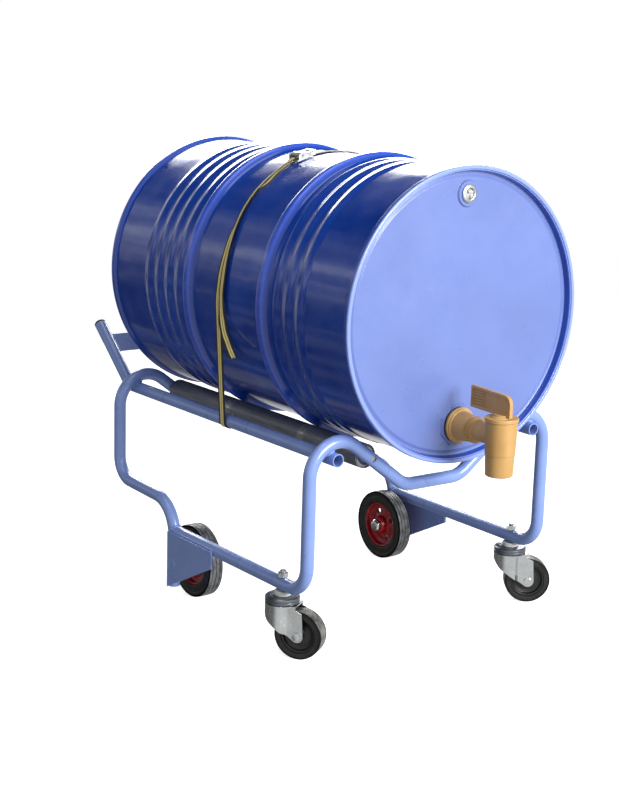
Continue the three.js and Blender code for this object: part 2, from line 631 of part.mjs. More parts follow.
function rearHead() {
  return aimed(headDisc(), vec(0, -1, 0), vec(0, DRUM_LENGTH - HEAD_RECESS, 0));
}

function smallBungPlug() {
  const flange = rod(SMALL_BUNG_RADIUS, -seatFace, -seatFace + 4, HUB_SIDES);
  const thread = rod(SMALL_BUNG_RADIUS - 5, -seatFace - 14, -seatFace + 1);
  const wrench = box(-9, 9, -4, 4, -seatFace + 1.5, -seatFace + 6);
  return aimed(cut(joined(flange, thread), wrench), vec(0, -1, 0), vec(0, 0, SMALL_BUNG_RISE));
}

add("drum_shell", drumShell(), FINISH.drumPaint, drum);
add("drum_front_head", frontHead(), FINISH.drumPaint, drum);
add("drum_rear_head", rearHead(), FINISH.drumPaint, drum);
add("small_bung_plug", smallBungPlug(), FINISH.steel, drum);

// ---------- tap ----------
const tapZ = -TAP_DROP;
const barrelTop = tapZ + TAP_BARREL_RISE;
const barrelFoot = barrelTop - TAP_BARREL_HEIGHT;
const plugFoot = barrelTop - TAP_PLUG_DEPTH + 1;
const gasketThickness = 4;

function tapBody() {
  const flangeBack = gasketThickness - seatFace;
  const flangeFront = flangeBack + 8;
  const spout = turned([
    [0, -seatFace - 20], [TAP_SPIGOT_RADIUS, -seatFace - 20], [TAP_SPIGOT_RADIUS, flangeBack],
    [36, flangeBack], [36, flangeFront - 2], [32, flangeFront], [31, flangeFront + 2], [25, 40], [23, 42],
    [23, 46], [19, 48], [19, TAP_REACH], [0, TAP_REACH],
  ]);
  aimed(spout, vec(0, -1, 0), vec(0, 0, tapZ));
  const widening = (TAP_BARREL_TOP - TAP_BARREL_FOOT) / TAP_BARREL_HEIGHT;
  const taper = (z) => TAP_BARREL_FOOT + widening * (z - barrelFoot);
  const barrel = turned([
    [0, barrelFoot], [taper(barrelFoot) - 1.5, barrelFoot], [taper(barrelFoot), barrelFoot + 2],
    [taper(barrelTop - 5), barrelTop - 5], [TAP_BARREL_TOP + 1, barrelTop - 4],
    [TAP_BARREL_TOP + 1, barrelTop], [0, barrelTop],
  ]).translate(0, -TAP_REACH, 0);
  const plugHole = rod(TAP_PLUG_RADIUS + RUN, plugFoot - 1 - GAP, barrelTop + 5, HUB_SIDES);
  plugHole.translate(0, -TAP_REACH, 0);
  const outlet = rod(TAP_PLUG_RADIUS - 3, barrelFoot - 5, plugFoot + 4).translate(0, -TAP_REACH, 0);
  const inlet = aimed(rod(TAP_PORT_RADIUS + 1, -60, TAP_REACH - 5), vec(0, -1, 0), vec(0, 0, tapZ));
  return cut(joined(spout, barrel), plugHole, outlet, inlet);
}

function tapPlug() {
  const stem = turned([
    [0, plugFoot], [TAP_PLUG_RADIUS, plugFoot], [TAP_PLUG_RADIUS, barrelTop],
    [TAP_PLUG_RADIUS - 4, barrelTop + 2], [TAP_PLUG_RADIUS - 5, barrelTop + 6], [0, barrelTop + 6],
  ]);
  const flag = new THREE.Shape();
  const near = TAP_REACH - 27;
  const far = near - FLAG_LENGTH;
  const foot = barrelTop + 2;
  flag.moveTo(near, foot + 3);
  flag.lineTo(near, foot + FLAG_HEIGHT + 4);
  flag.lineTo(far + 22, foot + FLAG_HEIGHT);
  flag.quadraticCurveTo(far + 2, foot + FLAG_HEIGHT, far, foot + FLAG_HEIGHT - 20);
  flag.lineTo(far, foot);
  const blade = slab(flag, -FLAG_THICKNESS / 2, FLAG_THICKNESS / 2, ACROSS_YZ);
  const port = aimed(rod(TAP_PORT_RADIUS, -40, 40), ALONG_X, vec(0, 0, tapZ));
  const drop = rod(TAP_PORT_RADIUS - 1, plugFoot - 5, tapZ);
  return cut(joined(stem, blade), port, drop).translate(0, -TAP_REACH, 0);
}

const tapGasket = ring(TAP_SPIGOT_RADIUS + GAP, 36, -seatFace, gasketThickness - seatFace - GAP);
add("tap_gasket", aimed(tapGasket, vec(0, -1, 0), vec(0, 0, tapZ)), FINISH.blackPlastic, drum);
add("tap_body", tapBody(), FINISH.tapPlastic, drum);
add("tap_plug", tapPlug(), FINISH.tapPlastic, drum);

// ---------- strap ----------
// The strap is drawn in the plane across the drum, [x, height above the drum's axis], and raised along Y.
const bandInner = DRUM_RADIUS + STRAP_LIFT;
const wrapRadius = TUBE_RADIUS + 2 * GAP;
const anchorZ = sideTubeZ - AXIS_HEIGHT;

// The middle line of the band from one side's tube, up its flank and over the drum to an angle from the top.
function strandLine(side, endAngle) {
  const middle = bandInner + STRAP_THICKNESS / 2;
  const wrap = wrapRadius + STRAP_THICKNESS / 2;
  const lean = Math.atan2(sideTubeX, -anchorZ);
  const reach = Math.hypot(sideTubeX, anchorZ);
  const tangent = Math.asin((middle - wrap) / reach);
  const flank = Math.PI / 2 - lean + tangent;
  const at = (centreX, centreZ, radius, angle) => [
    side * (centreX + radius * Math.sin(angle)),
    centreZ + radius * Math.cos(angle),
  ];
  const points = [];
  for (let a = flank + Math.PI * 1.25; a > flank; a -= 0.3) points.push(at(sideTubeX, anchorZ, wrap, a));
  points.push(at(sideTubeX, anchorZ, wrap, flank));
  const steps = Math.ceil(Math.abs(flank - endAngle) / 0.12);
  for (let i = 0; i <= steps; i++) points.push(at(0, 0, middle, flank + ((endAngle - flank) * i) / steps));
  return points;
}

// A band of constant thickness along a line of points.
function bandOutline(line, thickness) {
  const left = [];
  const right = [];
  line.forEach(([x, z], i) => {
    const [px, pz] = line[Math.max(i - 1, 0)];
    const [nx, nz] = line[Math.min(i + 1, line.length - 1)];
    const length = Math.hypot(nx - px, nz - pz);
    const across = [(-(nz - pz) / length) * (thickness / 2), ((nx - px) / length) * (thickness / 2)];
    left.push([x + across[0], z + across[1]]);
    right.push([x - across[0], z - across[1]]);
  });
  return polygon([...left, ...right.reverse()]);
}

function webbing(line) {
  const from = -STRAP_Y - STRAP_WIDTH / 2;
  return slab(bandOutline(line, STRAP_THICKNESS), from, from + STRAP_WIDTH, ACROSS_XZ);
}

const buckleHalfAngle = (BUCKLE_LENGTH / 2 + GAP) / bandInner;
const strap = new THREE.Group();
strap.position.set(0, 0, AXIS_HEIGHT);
root.add(strap);
add("strap_left", webbing(strandLine(-1, -BUCKLE_ANGLE + buckleHalfAngle)), FINISH.webbing, strap);
add("strap_right", webbing(strandLine(1, BUCKLE_ANGLE + buckleHalfAngle)), FINISH.webbing, strap);

// The buckle sits on the drum with its base along the strap.
const buckle = new THREE.Group();
buckle.position.set(bandInner * Math.sin(BUCKLE_ANGLE), STRAP_Y, bandInner * Math.cos(BUCKLE_ANGLE));
buckle.rotation.y = BUCKLE_ANGLE;
strap.add(buckle);
const half = BUCKLE_LENGTH / 2;
const wallY = BUCKLE_WIDTH / 2;
const pinAt = vec(-half + 17, 0, BUCKLE_LIFT + 9);
const leverHalf = wallY - BUCKLE_SHEET - 2 * GAP;

function buckleFrame() {
  const base = box(-half, half, -wallY, wallY, BUCKLE_LIFT, BUCKLE_LIFT + BUCKLE_SHEET);
  const cheek = (side) => {
    const outline = polygon([
      [-half + 4, BUCKLE_LIFT], [half - 12, BUCKLE_LIFT], [half - 16, BUCKLE_LIFT + 9],
      [-half + 22, BUCKLE_LIFT + 14], [-half + 8, BUCKLE_LIFT + 12],
    ]);
    const from = side > 0 ? wallY - BUCKLE_SHEET : -wallY;
    return slab(outline, from, from + BUCKLE_SHEET, ACROSS_XZ);
  };
  const pinHole = aimed(rod(BUCKLE_PIN_RADIUS + GAP, -40, 40), ALONG_Y, pinAt);
  const slot = box(half - 9, half - 4, -STRAP_WIDTH / 2 - 1, STRAP_WIDTH / 2 + 1, -5, 10);
  return cut(joined(base, cheek(-1), cheek(1)), pinHole, slot);
}

function buckleLever() {
  const outline = new THREE.Shape();
  outline.absarc(pinAt.x, pinAt.z, 5.5, Math.PI * 0.5, Math.PI * 1.45, false);
  outline.lineTo(pinAt.x + 4, pinAt.z - 5);
  outline.lineTo(half + 4, pinAt.z - 2);
  outline.lineTo(half + 4, pinAt.z + 0.5);
  outline.lineTo(pinAt.x + 6, pinAt.z + 2.5);
  const blade = slab(outline, -leverHalf, leverHalf, ACROSS_XZ);
  return cut(blade, aimed(rod(BUCKLE_PIN_RADIUS + RUN, -40, 40), ALONG_Y, pinAt));
}

add("buckle_frame", buckleFrame(), FINISH.zinc, buckle);
add("buckle_lever", buckleLever(), FINISH.zinc, buckle);
const buckleRivet = rod(BUCKLE_PIN_RADIUS, -wallY - 1, wallY + 1);
add("buckle_pin", aimed(buckleRivet, ALONG_Y, pinAt), FINISH.steel, buckle);

// The free end leaves the buckle between its cheeks, lies back over the left strand and drifts beside it
// as far as the drum's flank, then hangs. A point on the drum is an angle from the top, a shift towards
// the tap and a lift.
const TAIL_RADIUS = bandInner + STRAP_THICKNESS + 3;
const TAIL_ON_DRUM = [
  [-21, 2, 3], [-29, 3, 0.5], [-37, 4, 0], [-45, 5, 0], [-53, 8, 0], [-61, 13, 0], [-69, 18, 0],
  [-77, 20, 0], [-85, 20, 0],
];
const TAIL_HANGING = [
  [-291.8, 424, 5], [-291.8, 423, -25], [-292.3, 418, -50], [-292.8, 408, -75], [-291.8, 394, -98],
  [-290.8, 377, -120],
];
const TAIL_ROUTE = [
  ...TAIL_ON_DRUM.map(([degrees, shift, lift]) => {
    const angle = THREE.MathUtils.degToRad(degrees);
    const radius = TAIL_RADIUS + lift;
    return vec(radius * Math.sin(angle), STRAP_Y - shift, radius * Math.cos(angle));
  }),
  ...TAIL_HANGING.map(([x, y, z]) => vec(x, y, z)),
];

function strapTail() {
  const route = new THREE.CatmullRomCurve3(TAIL_ROUTE);
  const width = STRAP_WIDTH / 2;
  const thick = STRAP_THICKNESS / 2;
  const section = polygon([[-width, -thick], [width, -thick], [width, thick], [-width, thick]]);
  return new THREE.ExtrudeGeometry(section, { steps: 32, extrudePath: route });
}
add("strap_tail", strapTail(), FINISH.webbing, strap);

// ---------- origin on the floor, under the middle of the object's box ----------
const bounds = new THREE.Box3().setFromObject(root, true);
root.position.set(-(bounds.min.x + bounds.max.x) / 2, -(bounds.min.y + bounds.max.y) / 2, 0);

export default root;
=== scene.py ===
"""Drum dolly: the visible pieces of a bent-tube cradle, its strapped drum, rollers, wheels and tap."""

import json
import math

import bmesh
import bpy
from bpy.props import FloatProperty, FloatVectorProperty, IntProperty, PointerProperty
from mathutils import Matrix, Vector, noise

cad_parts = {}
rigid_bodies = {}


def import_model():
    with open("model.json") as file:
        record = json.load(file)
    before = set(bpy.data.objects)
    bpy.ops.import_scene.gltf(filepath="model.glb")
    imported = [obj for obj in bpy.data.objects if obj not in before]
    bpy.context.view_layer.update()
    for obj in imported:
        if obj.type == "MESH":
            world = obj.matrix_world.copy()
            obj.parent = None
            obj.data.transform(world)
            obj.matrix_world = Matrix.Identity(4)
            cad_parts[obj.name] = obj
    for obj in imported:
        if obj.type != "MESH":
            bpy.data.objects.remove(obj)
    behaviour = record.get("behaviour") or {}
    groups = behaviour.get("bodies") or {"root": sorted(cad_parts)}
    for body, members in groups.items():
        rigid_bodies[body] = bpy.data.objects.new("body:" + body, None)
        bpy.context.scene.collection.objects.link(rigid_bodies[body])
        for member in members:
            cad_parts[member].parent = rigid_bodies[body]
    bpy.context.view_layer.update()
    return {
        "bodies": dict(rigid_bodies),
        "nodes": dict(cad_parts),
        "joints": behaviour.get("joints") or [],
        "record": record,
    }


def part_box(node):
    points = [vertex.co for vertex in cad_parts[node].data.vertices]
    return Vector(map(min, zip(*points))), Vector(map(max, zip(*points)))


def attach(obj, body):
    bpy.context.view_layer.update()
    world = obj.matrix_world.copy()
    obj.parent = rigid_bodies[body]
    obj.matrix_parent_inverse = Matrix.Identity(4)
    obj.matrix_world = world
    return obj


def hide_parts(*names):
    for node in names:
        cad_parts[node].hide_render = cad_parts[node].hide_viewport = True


bl_info = {
    "name": "Drum Dolly",
    "version": (1, 0, 0),
    "blender": (4, 5, 0),
    "location": "3D View > Sidebar > Drum Dolly",
    "description": "Builds the finished pieces of a drum dolly around its frame",
    "category": "Add Mesh",
}

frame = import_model()

MM = 0.001
JOINTS = {joint["name"]: joint for joint in frame["joints"]}
SIDES = (("left", -1), ("right", 1))
X, Y, Z = Vector((1, 0, 0)), Vector((0, 1, 0)), Vector((0, 0, 1))

# ---------- places, in millimetres from the drum's axis, from its front rim and from the floor ----------
DRUM_AXIS = Vector(JOINTS["drum_roll"]["pos_m"])
ORIGIN = Vector((DRUM_AXIS.x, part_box("drum_shell")[0].y, 0))


def at(x, y, z):
    """A place in metres from millimetres across, along and up."""
    return ORIGIN + Vector((x, y, z)) * MM


def spot(point):
    """The millimetres across, along and up of a place in metres."""
    return (Vector(point) - ORIGIN) / MM


def low(node):
    return spot(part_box(node)[0])


def high(node):
    return spot(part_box(node)[1])


def joint_spot(name):
    return spot(JOINTS[name]["pos_m"])


AXIS_HEIGHT = DRUM_AXIS.z / MM
DRUM_LENGTH = high("drum_shell").y
TUBE_RADIUS = 13.45
GAP = 0.3  # between pieces that touch in the real object
COPE_GAP = 0.1  # round a tube where another piece is coped to it
TUBE_WALL = 2.6
LEG_X = joint_spot("right_caster_swivel").x
CASTER_Y = joint_spot("right_caster_swivel").y
FRONT_HOOP_Y = low("front_frame_tube").y + TUBE_RADIUS
REAR_HOOP_Y = high("rear_frame_tube").y - TUBE_RADIUS
REAR_LEG_Y = low("rear_frame_tube").y + TUBE_RADIUS
ROLLER = joint_spot("right_roller_spin")
RAIL_Z = low("left_caster_nut").z - GAP - TUBE_RADIUS
PLATE_TOP = high("left_wheel_plate").z
PLATE_FOOT = low("left_wheel_plate").z
HOOP_ANGLE = math.radians(37)
SLOPE = math.tan(HOOP_ANGLE)
CRADLE_DROP = 67  # from the rollers down to the bend at the foot of a hoop's slope
CRADLE_Z = ROLLER.z - CRADLE_DROP
CRADLE_X = ROLLER.x - CRADLE_DROP / SLOPE
TOP_BEND = 67
TOP_CORNER_Z = ROLLER.z + (LEG_X - ROLLER.x) * SLOPE
TOP_ARC_X = LEG_X - TOP_BEND
TOP_ARC_Z = TOP_CORNER_Z - TOP_BEND * math.tan((math.pi / 2 + HOOP_ANGLE) / 2)
SIDE_TUBE_LEAN = math.radians(25)
SIDE_TUBE_X = high("right_side_tube").x - TUBE_RADIUS
SIDE_TUBE_Z = low("right_side_tube").z + TUBE_RADIUS
TOE_ANGLE = math.radians(40.3)
TOE_LENGTH = 184
TOE_BAR_HALF = 25
TOE_BAR_AT = TOE_LENGTH - 34 - TOE_BAR_HALF  # the bar's middle, along the toe tubes
TOE_Y = REAR_HOOP_Y + 41.5
TOE_ALONG = Vector((0, math.cos(TOE_ANGLE), math.sin(TOE_ANGLE)))
TOE_ACROSS = Vector((0, -math.sin(TOE_ANGLE), math.cos(TOE_ANGLE)))
HOOPS = (285, 558)


# ---------- mesh code ----------
def rounded(points, radius, steps=4, closed=False):
    """A polyline whose corners are turned by arcs; a point may carry its own radius as a third number."""
    count = len(points)
    result = []
    for i, point in enumerate(points):
        here = Vector(point[:2])
        size = point[2] if len(point) > 2 else radius
        if (not closed and i in (0, count - 1)) or size <= 0:
            result.append(tuple(here))
            continue
        before = Vector(points[i - 1][:2])
        after = Vector(points[(i + 1) % count][:2])
        into, out = before - here, after - here
        turn = into.angle(out, math.pi)
        if turn > math.pi - 0.02:
            result.append(tuple(here))
            continue
        trim = min(size / math.tan(turn / 2), into.length * 0.48, out.length * 0.48)
        start, end = here + into.normalized() * trim, here + out.normalized() * trim
        for k in range(steps + 1):
            t = k / steps
            result.append(tuple(start * (1 - t) ** 2 + here * 2 * t * (1 - t) + end * t * t))
    return result


def spun(profile, steps=64, closed=None):
    """Vertices and faces of a profile of (radius, height) turned round Z."""
    if closed is None:
        closed = profile[0][0] > 1e-6
    verts, rings = [], []
    for radius, height in profile:
        if radius < 1e-6:
            rings.append([len(verts)] * steps)
            verts.append((0, 0, height))
            continue
        rings.append(list(range(len(verts), len(verts) + steps)))
        for k in range(steps):
            a = 2 * math.pi * k / steps
            verts.append((radius * math.cos(a), radius * math.sin(a), height))
    faces = []
    for i in range(len(rings) if closed else len(rings) - 1):
        one, two = rings[i], rings[(i + 1) % len(rings)]
        for k in range(steps):
            n = (k + 1) % steps
            face = list(dict.fromkeys([one[k], one[n], two[n], two[k]]))
            if len(face) > 2:
                faces.append(face)
    return verts, faces


def extruded(outline, start, end):
    """Vertices and faces of a flat outline raised between two heights."""
    count = len(outline)
    verts = [(x, y, start) for x, y in outline] + [(x, y, end) for x, y in outline]
    faces = [list(range(count))[::-1], list(range(count, 2 * count))]
    faces += [[i, (i + 1) % count, count + (i + 1) % count, count + i] for i in range(count)]
    return verts, faces


def moved(shape, matrix):
    verts, faces = shape
    return [matrix @ Vector(v) for v in verts], faces


def together(*shapes):
    verts, faces = [], []
    for more_verts, more_faces in shapes:
        faces += [[i + len(verts) for i in face] for face in more_faces]
        verts += list(more_verts)
    return verts, faces


def aimed(direction, centre=(0, 0, 0)):
    """The matrix that lays the Z axis along a direction and moves the origin to a centre."""
    turn = Vector(direction).to_track_quat("Z", "Y").to_matrix().to_4x4()
    return Matrix.Translation(Vector(centre)) @ turn


def to_frame(matrix=Matrix.Identity(4)):
    """The matrix that takes millimetres of the drawing to metres of the frame."""
    return Matrix.Translation(ORIGIN) @ Matrix.Scale(MM, 4) @ matrix


def across_yz():
    """Lays a drawing of (along, up) in the plane across X."""
    return Matrix(((0, 0, 1, 0), (1, 0, 0, 0), (0, 1, 0, 0), (0, 0, 0, 1)))


def across_xz():
    """Lays a drawing of (across, up) in the plane across Y, raised towards the tap."""
    return Matrix(((1, 0, 0, 0), (0, 0, -1, 0), (0, 1, 0, 0), (0, 0, 0, 1)))


def piece(name, shape, coat=None, matrix=None, sharp=35):
    """A new object from vertices and faces in millimetres of the drawing."""
    verts, faces = moved(shape, to_frame(matrix or Matrix.Identity(4)))
    mesh = bpy.data.meshes.new(name)
    mesh.from_pydata([tuple(v) for v in verts], [], faces)
    work = bmesh.new()
    work.from_mesh(mesh)
    bmesh.ops.remove_doubles(work, verts=work.verts, dist=1e-6)
    bmesh.ops.recalc_face_normals(work, faces=work.faces)
    work.to_mesh(mesh)
    work.free()
    if coat:
        mesh.materials.append(paint(coat))
    mesh.shade_smooth()
    mesh.set_sharp_from_angle(angle=math.radians(sharp))
    obj = bpy.data.objects.new(name, mesh)
    bpy.context.scene.collection.objects.link(obj)
    return obj


def apply_modifiers(obj, sharp=35):
    """Makes what the modifiers show the mesh of the object."""
    graph = bpy.context.evaluated_depsgraph_get()
    mesh = bpy.data.meshes.new_from_object(obj.evaluated_get(graph))
    mesh.name = obj.name
    obj.modifiers.clear()
    obj.data = mesh
    mesh.shade_smooth()
    mesh.set_sharp_from_angle(angle=math.radians(sharp))
    return obj


def combine(obj, cutters, operation="DIFFERENCE"):
    """Cuts, joins or keeps the common part of an object and others, which are used up."""
    for cutter in cutters:
        modifier = obj.modifiers.new("combine", "BOOLEAN")
        modifier.operation = operation
        modifier.object = cutter
        modifier.solver = "EXACT"
    apply_modifiers(obj)
    for cutter in cutters:
        bpy.data.objects.remove(cutter)
    return obj


def soften(obj, width, segments=2, angle=40):
    """Breaks the sharp edges, as every pressed, moulded or machined piece has them."""
    bevel = obj.modifiers.new("broken edges", "BEVEL")
    bevel.width = width * MM
    bevel.segments = segments
    bevel.limit_method = "ANGLE"
    bevel.angle_limit = math.radians(angle)
    bevel.harden_normals = False
    apply_modifiers(obj, 50)
    weighted = obj.modifiers.new("flat faces", "WEIGHTED_NORMAL")
    weighted.keep_sharp = True
    return obj


def on_body(obj, body, slot, *nodes):
    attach(obj, body)
    if nodes:
        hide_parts(*nodes)
    return obj


def bend_path(corners, step=math.radians(5)):
    """Points of straight runs and round bends from corners of (point, bend radius)."""
    points = [Vector(corners[0][0])]
    for (before, _), (here, bend), (after, _) in zip(corners, corners[1:], corners[2:]):
        here = Vector(here)
        into = (here - Vector(before)).normalized()
        out = (Vector(after) - here).normalized()
        turn = into.angle(out)
        start = here - into * bend * math.tan(turn / 2)
        axis = into.cross(out).normalized()
        centre = start + axis.cross(into) * bend
        steps = max(2, math.ceil(turn / step))
        for k in range(steps + 1):
            arm = start - centre
            arm.rotate(Matrix.Rotation(turn * k / steps, 3, axis))
            points.append(centre + arm)
    points.append(Vector(corners[-1][0]))
    return points


def path_frames(points, closed=False):
    """Direction, side and up at each point, carried along without twist."""
    count = len(points)
    result = []
    up = None
    for i in range(count):
        ahead = points[(i + 1) % count] if closed else points[min(i + 1, count - 1)]
        back = points[i - 1] if closed else points[max(i - 1, 0)]
        along = (ahead - back).normalized()
        if up is None:
            up = along.orthogonal().normalized()
        up = (up - along * up.dot(along)).normalized()
        result.append((along, along.cross(up), up))
    return result


def swept(points, section, closed=False, capped=True, swell=None):
    """A section of (side, up) carried along points; swell gives its size at each point."""
    frames = path_frames(points, closed)
    count, width = len(points), len(section)
    verts = []
    for i, (point, (_, side, up)) in enumerate(zip(points, frames)):
        size = swell(i) if swell else 1.0
        verts += [point + side * x * size + up * y * size for x, y in section]
    faces = []
    for i in range(count if closed else count - 1):
        j = (i + 1) % count
        for k in range(width):
            n = (k + 1) % width
            faces.append([i * width + k, i * width + n, j * width + n, j * width + k])
    if capped and not closed:
        faces.append(list(range(width))[::-1])
        faces.append(list(range((count - 1) * width, count * width)))
    return verts, faces


def circle(radius, sides=32):
    return [(radius * math.cos(math.tau * k / sides),
             radius * math.sin(math.tau * k / sides)) for k in range(sides)]


def pipe(corners, radius, wall, sides=36, edge=0.6, bore_depth=12):
    """A bent tube with a bore at each end and broken edges at its two cuts."""
    points = bend_path(corners)
    frames = path_frames(points)
    bore = radius - wall
    mouth = [(bore_depth, bore), (edge, bore), (0, bore + edge), (0, radius - edge), (edge, radius)]
    ring = circle(1, sides)

    def loops(point, frame, inward):
        _, side, up = frame
        for depth, size in mouth:
            centre = point + inward * depth
            yield [centre + side * x * size + up * y * size for x, y in ring]

    rows = list(loops(points[0], frames[0], frames[0][0]))
    for point, (_, side, up) in list(zip(points, frames))[1:-1]:
        rows.append([point + side * x * radius + up * y * radius for x, y in ring])
    rows += list(loops(points[-1], frames[-1], -frames[-1][0]))[::-1]
    verts = [vert for row in rows for vert in row]
    faces = []
    for i in range(len(rows) - 1):
        for k in range(sides):
            n = (k + 1) % sides
            faces.append([i * sides + k, i * sides + n, (i + 1) * sides + n, (i + 1) * sides + k])
    faces.append(list(range(sides)))
    faces.append(list(range((len(rows) - 1) * sides, len(rows) * sides))[::-1])
    return verts, faces


# ---------- materials ----------
def linear(code):
    """The linear colour of an sRGB hex value."""
    values = [int(code[i:i + 2], 16) / 255 for i in (1, 3, 5)]
    return tuple(v / 12.92 if v <= 0.04045 else ((v + 0.055) / 1.055) ** 2.4 for v in values)


def add_node(tree, kind, inputs=None, **settings):
    """A shader node with its settings; an input takes a value or another node's output."""
    node = tree.nodes.new("ShaderNode" + kind)
    for name, value in settings.items():
        setattr(node, name, value)
    for key, value in (inputs or {}).items():
        if isinstance(value, bpy.types.NodeSocket):
            tree.links.new(value, node.inputs[key])
        else:
            node.inputs[key].default_value = value
    return node


def per_metre(size_mm):
    """The texture scale whose pattern repeats about once in that many millimetres."""
    return 1000 / size_mm


FACTOR, FIRST, SECOND, MIXED = 0, 6, 7, 2  # sockets of a colour Mix node


class Surface:
    """A material being made: one Principled shader and what leads to it."""

    def __init__(self, name, **constants):
        self.material = bpy.data.materials.new(name)
        self.material.use_nodes = True
        self.tree = self.material.node_tree
        self.shader = self.tree.nodes["Principled BSDF"]
        for socket, value in constants.items():
            self.shader.inputs[socket.replace("_", " ")].default_value = value
        self.place = self.node("TexCoord").outputs["Object"]

    def node(self, kind, inputs=None, **settings):
        return add_node(self.tree, kind, inputs, **settings)

    def link(self, output, socket):
        self.tree.links.new(output, self.shader.inputs[socket])

    def stretched(self, scale, turn=(0, 0, 0)):
        """The object's coordinates, stretched and turned."""
        return self.node("Mapping",
                         {"Vector": self.place, "Scale": scale, "Rotation": turn}).outputs["Vector"]

    def speckle(self, size_mm, detail=3.0, rough=0.5, vector=None):
        inputs = {"Vector": vector or self.place, "Scale": per_metre(size_mm), "Detail": detail,
                  "Roughness": rough}
        return self.node("TexNoise", inputs).outputs["Fac"]

    def ranged(self, value, low_in, high_in, low_out=0.0, high_out=1.0, smooth=False):
        kind = "SMOOTHSTEP" if smooth else "LINEAR"
        inputs = {"Value": value, "From Min": low_in, "From Max": high_in, "To Min": low_out,
                  "To Max": high_out}
        return self.node("MapRange", inputs, interpolation_type=kind).outputs["Result"]

    def sum(self, operation, one, two=0.0):
        return self.node("Math", {0: one, 1: two}, operation=operation).outputs[0]

    def mixed(self, factor, one, two):
        one = (*one, 1) if isinstance(one, tuple) else one
        two = (*two, 1) if isinstance(two, tuple) else two
        mix = self.node("Mix", {FACTOR: factor, FIRST: one, SECOND: two}, data_type="RGBA")
        return mix.outputs[MIXED]

    def relief(self, height, depth_mm, strength=1.0, below=None):
        inputs = {"Height": height, "Distance": depth_mm * MM, "Strength": strength}
        if below is not None:
            inputs["Normal"] = below
        return self.node("Bump", inputs).outputs["Normal"]

    def from_axis(self, centre):
        """Millimetres from the line along Y through a place."""
        shifted = self.node("VectorMath", {0: self.place, 1: tuple(centre)},
                            operation="SUBTRACT").outputs[0]
        flat = self.node("VectorMath", {0: shifted, 1: (1.0, 0.0, 1.0)}, operation="MULTIPLY").outputs[0]
        length = self.node("VectorMath", {0: flat}, operation="LENGTH").outputs["Value"]
        return self.sum("MULTIPLY", length, 1000.0)

    def scratches(self, length_mm, width_mm, turns, amount):
        """Thin straight marks in a few directions, thinned out by broad patches."""
        total = None
        for turn in turns:
            vector = self.stretched((1.0, length_mm / width_mm, length_mm / width_mm), turn)
            streak = self.speckle(length_mm, 1.0, 0.4, vector)
            mark = self.ranged(streak, 0.735 - amount * 0.02, 0.76 - amount * 0.02)
            total = mark if total is None else self.sum("MAXIMUM", total, mark)
        patches = self.ranged(self.speckle(120, 2.0), 0.5, 0.62)
        return self.sum("MULTIPLY", total, patches)


def drum_enamel(settings):
    # Stoved enamel over cold-rolled steel: deep, glossy and a little wavy, with hairline scratches. The crests
    # of the rolling hoops carry a painted highlight, mottled a little like rub wear, and the lips of the rims a
    # brighter painted highlight. Its orange peel is drawn coarser than it is, at 6 mm, so that it shows.
    s = Surface("stoved_enamel_deep_blue", Metallic=0.0, IOR=1.5, Coat_Weight=0.35, Coat_Roughness=0.06)
    patches = s.ranged(s.speckle(140, 3.0), 0.35, 0.7)
    paint = s.mixed(patches, tuple(settings.drum_colour), tuple(settings.drum_colour_light))
    # Painted highlight: the crests of the hoops are drawn lighter, standing in for light on them; the mottling is
    # like rub wear.
    crest = s.ranged(s.from_axis(DRUM_AXIS), 289.5, 297.0, smooth=True)
    along = s.sum("SUBTRACT", s.node("SeparateXYZ", {0: s.place}).outputs["Y"], at(0, DRUM_LENGTH / 2, 0).y)
    # Painted highlight: the lips of the rims are drawn near white-blue, standing in for light on them.
    rim = s.ranged(s.sum("ABSOLUTE", along), (DRUM_LENGTH / 2 - 6) * MM, (DRUM_LENGTH / 2 - 3) * MM)
    crest_lit_and_rubbed = s.sum("MULTIPLY", crest, s.ranged(s.speckle(9, 4.0), 0.3, 0.6, 0.75, 1.0))
    paint = s.mixed(crest_lit_and_rubbed, paint, tuple(settings.crest_highlight_colour))
    paint = s.mixed(rim, paint, tuple(settings.rim_highlight_colour))
    turns = ((0.2, 0.1, 0.5), (0.1, 0.9, -0.7), (0.5, 0.3, 1.9))
    marks = s.scratches(34, 0.5, turns, 1.0)
    paint = s.mixed(s.sum("MULTIPLY", marks, 0.5), paint, linear("#a9b6d6"))
    s.link(paint, "Base Color")
    s.link(s.sum("ADD", s.ranged(s.speckle(60, 4.0), 0.3, 0.7, 0.12, 0.24),
                 s.sum("MULTIPLY", marks, 0.2)), "Roughness")
    waves = s.relief(s.speckle(75, 2.0), 0.5)
    peel = s.relief(s.speckle(6.0, 2.0), 0.03, 0.5, waves)
    s.link(s.relief(marks, -0.05, 0.5, peel), "Normal")
    return s.material


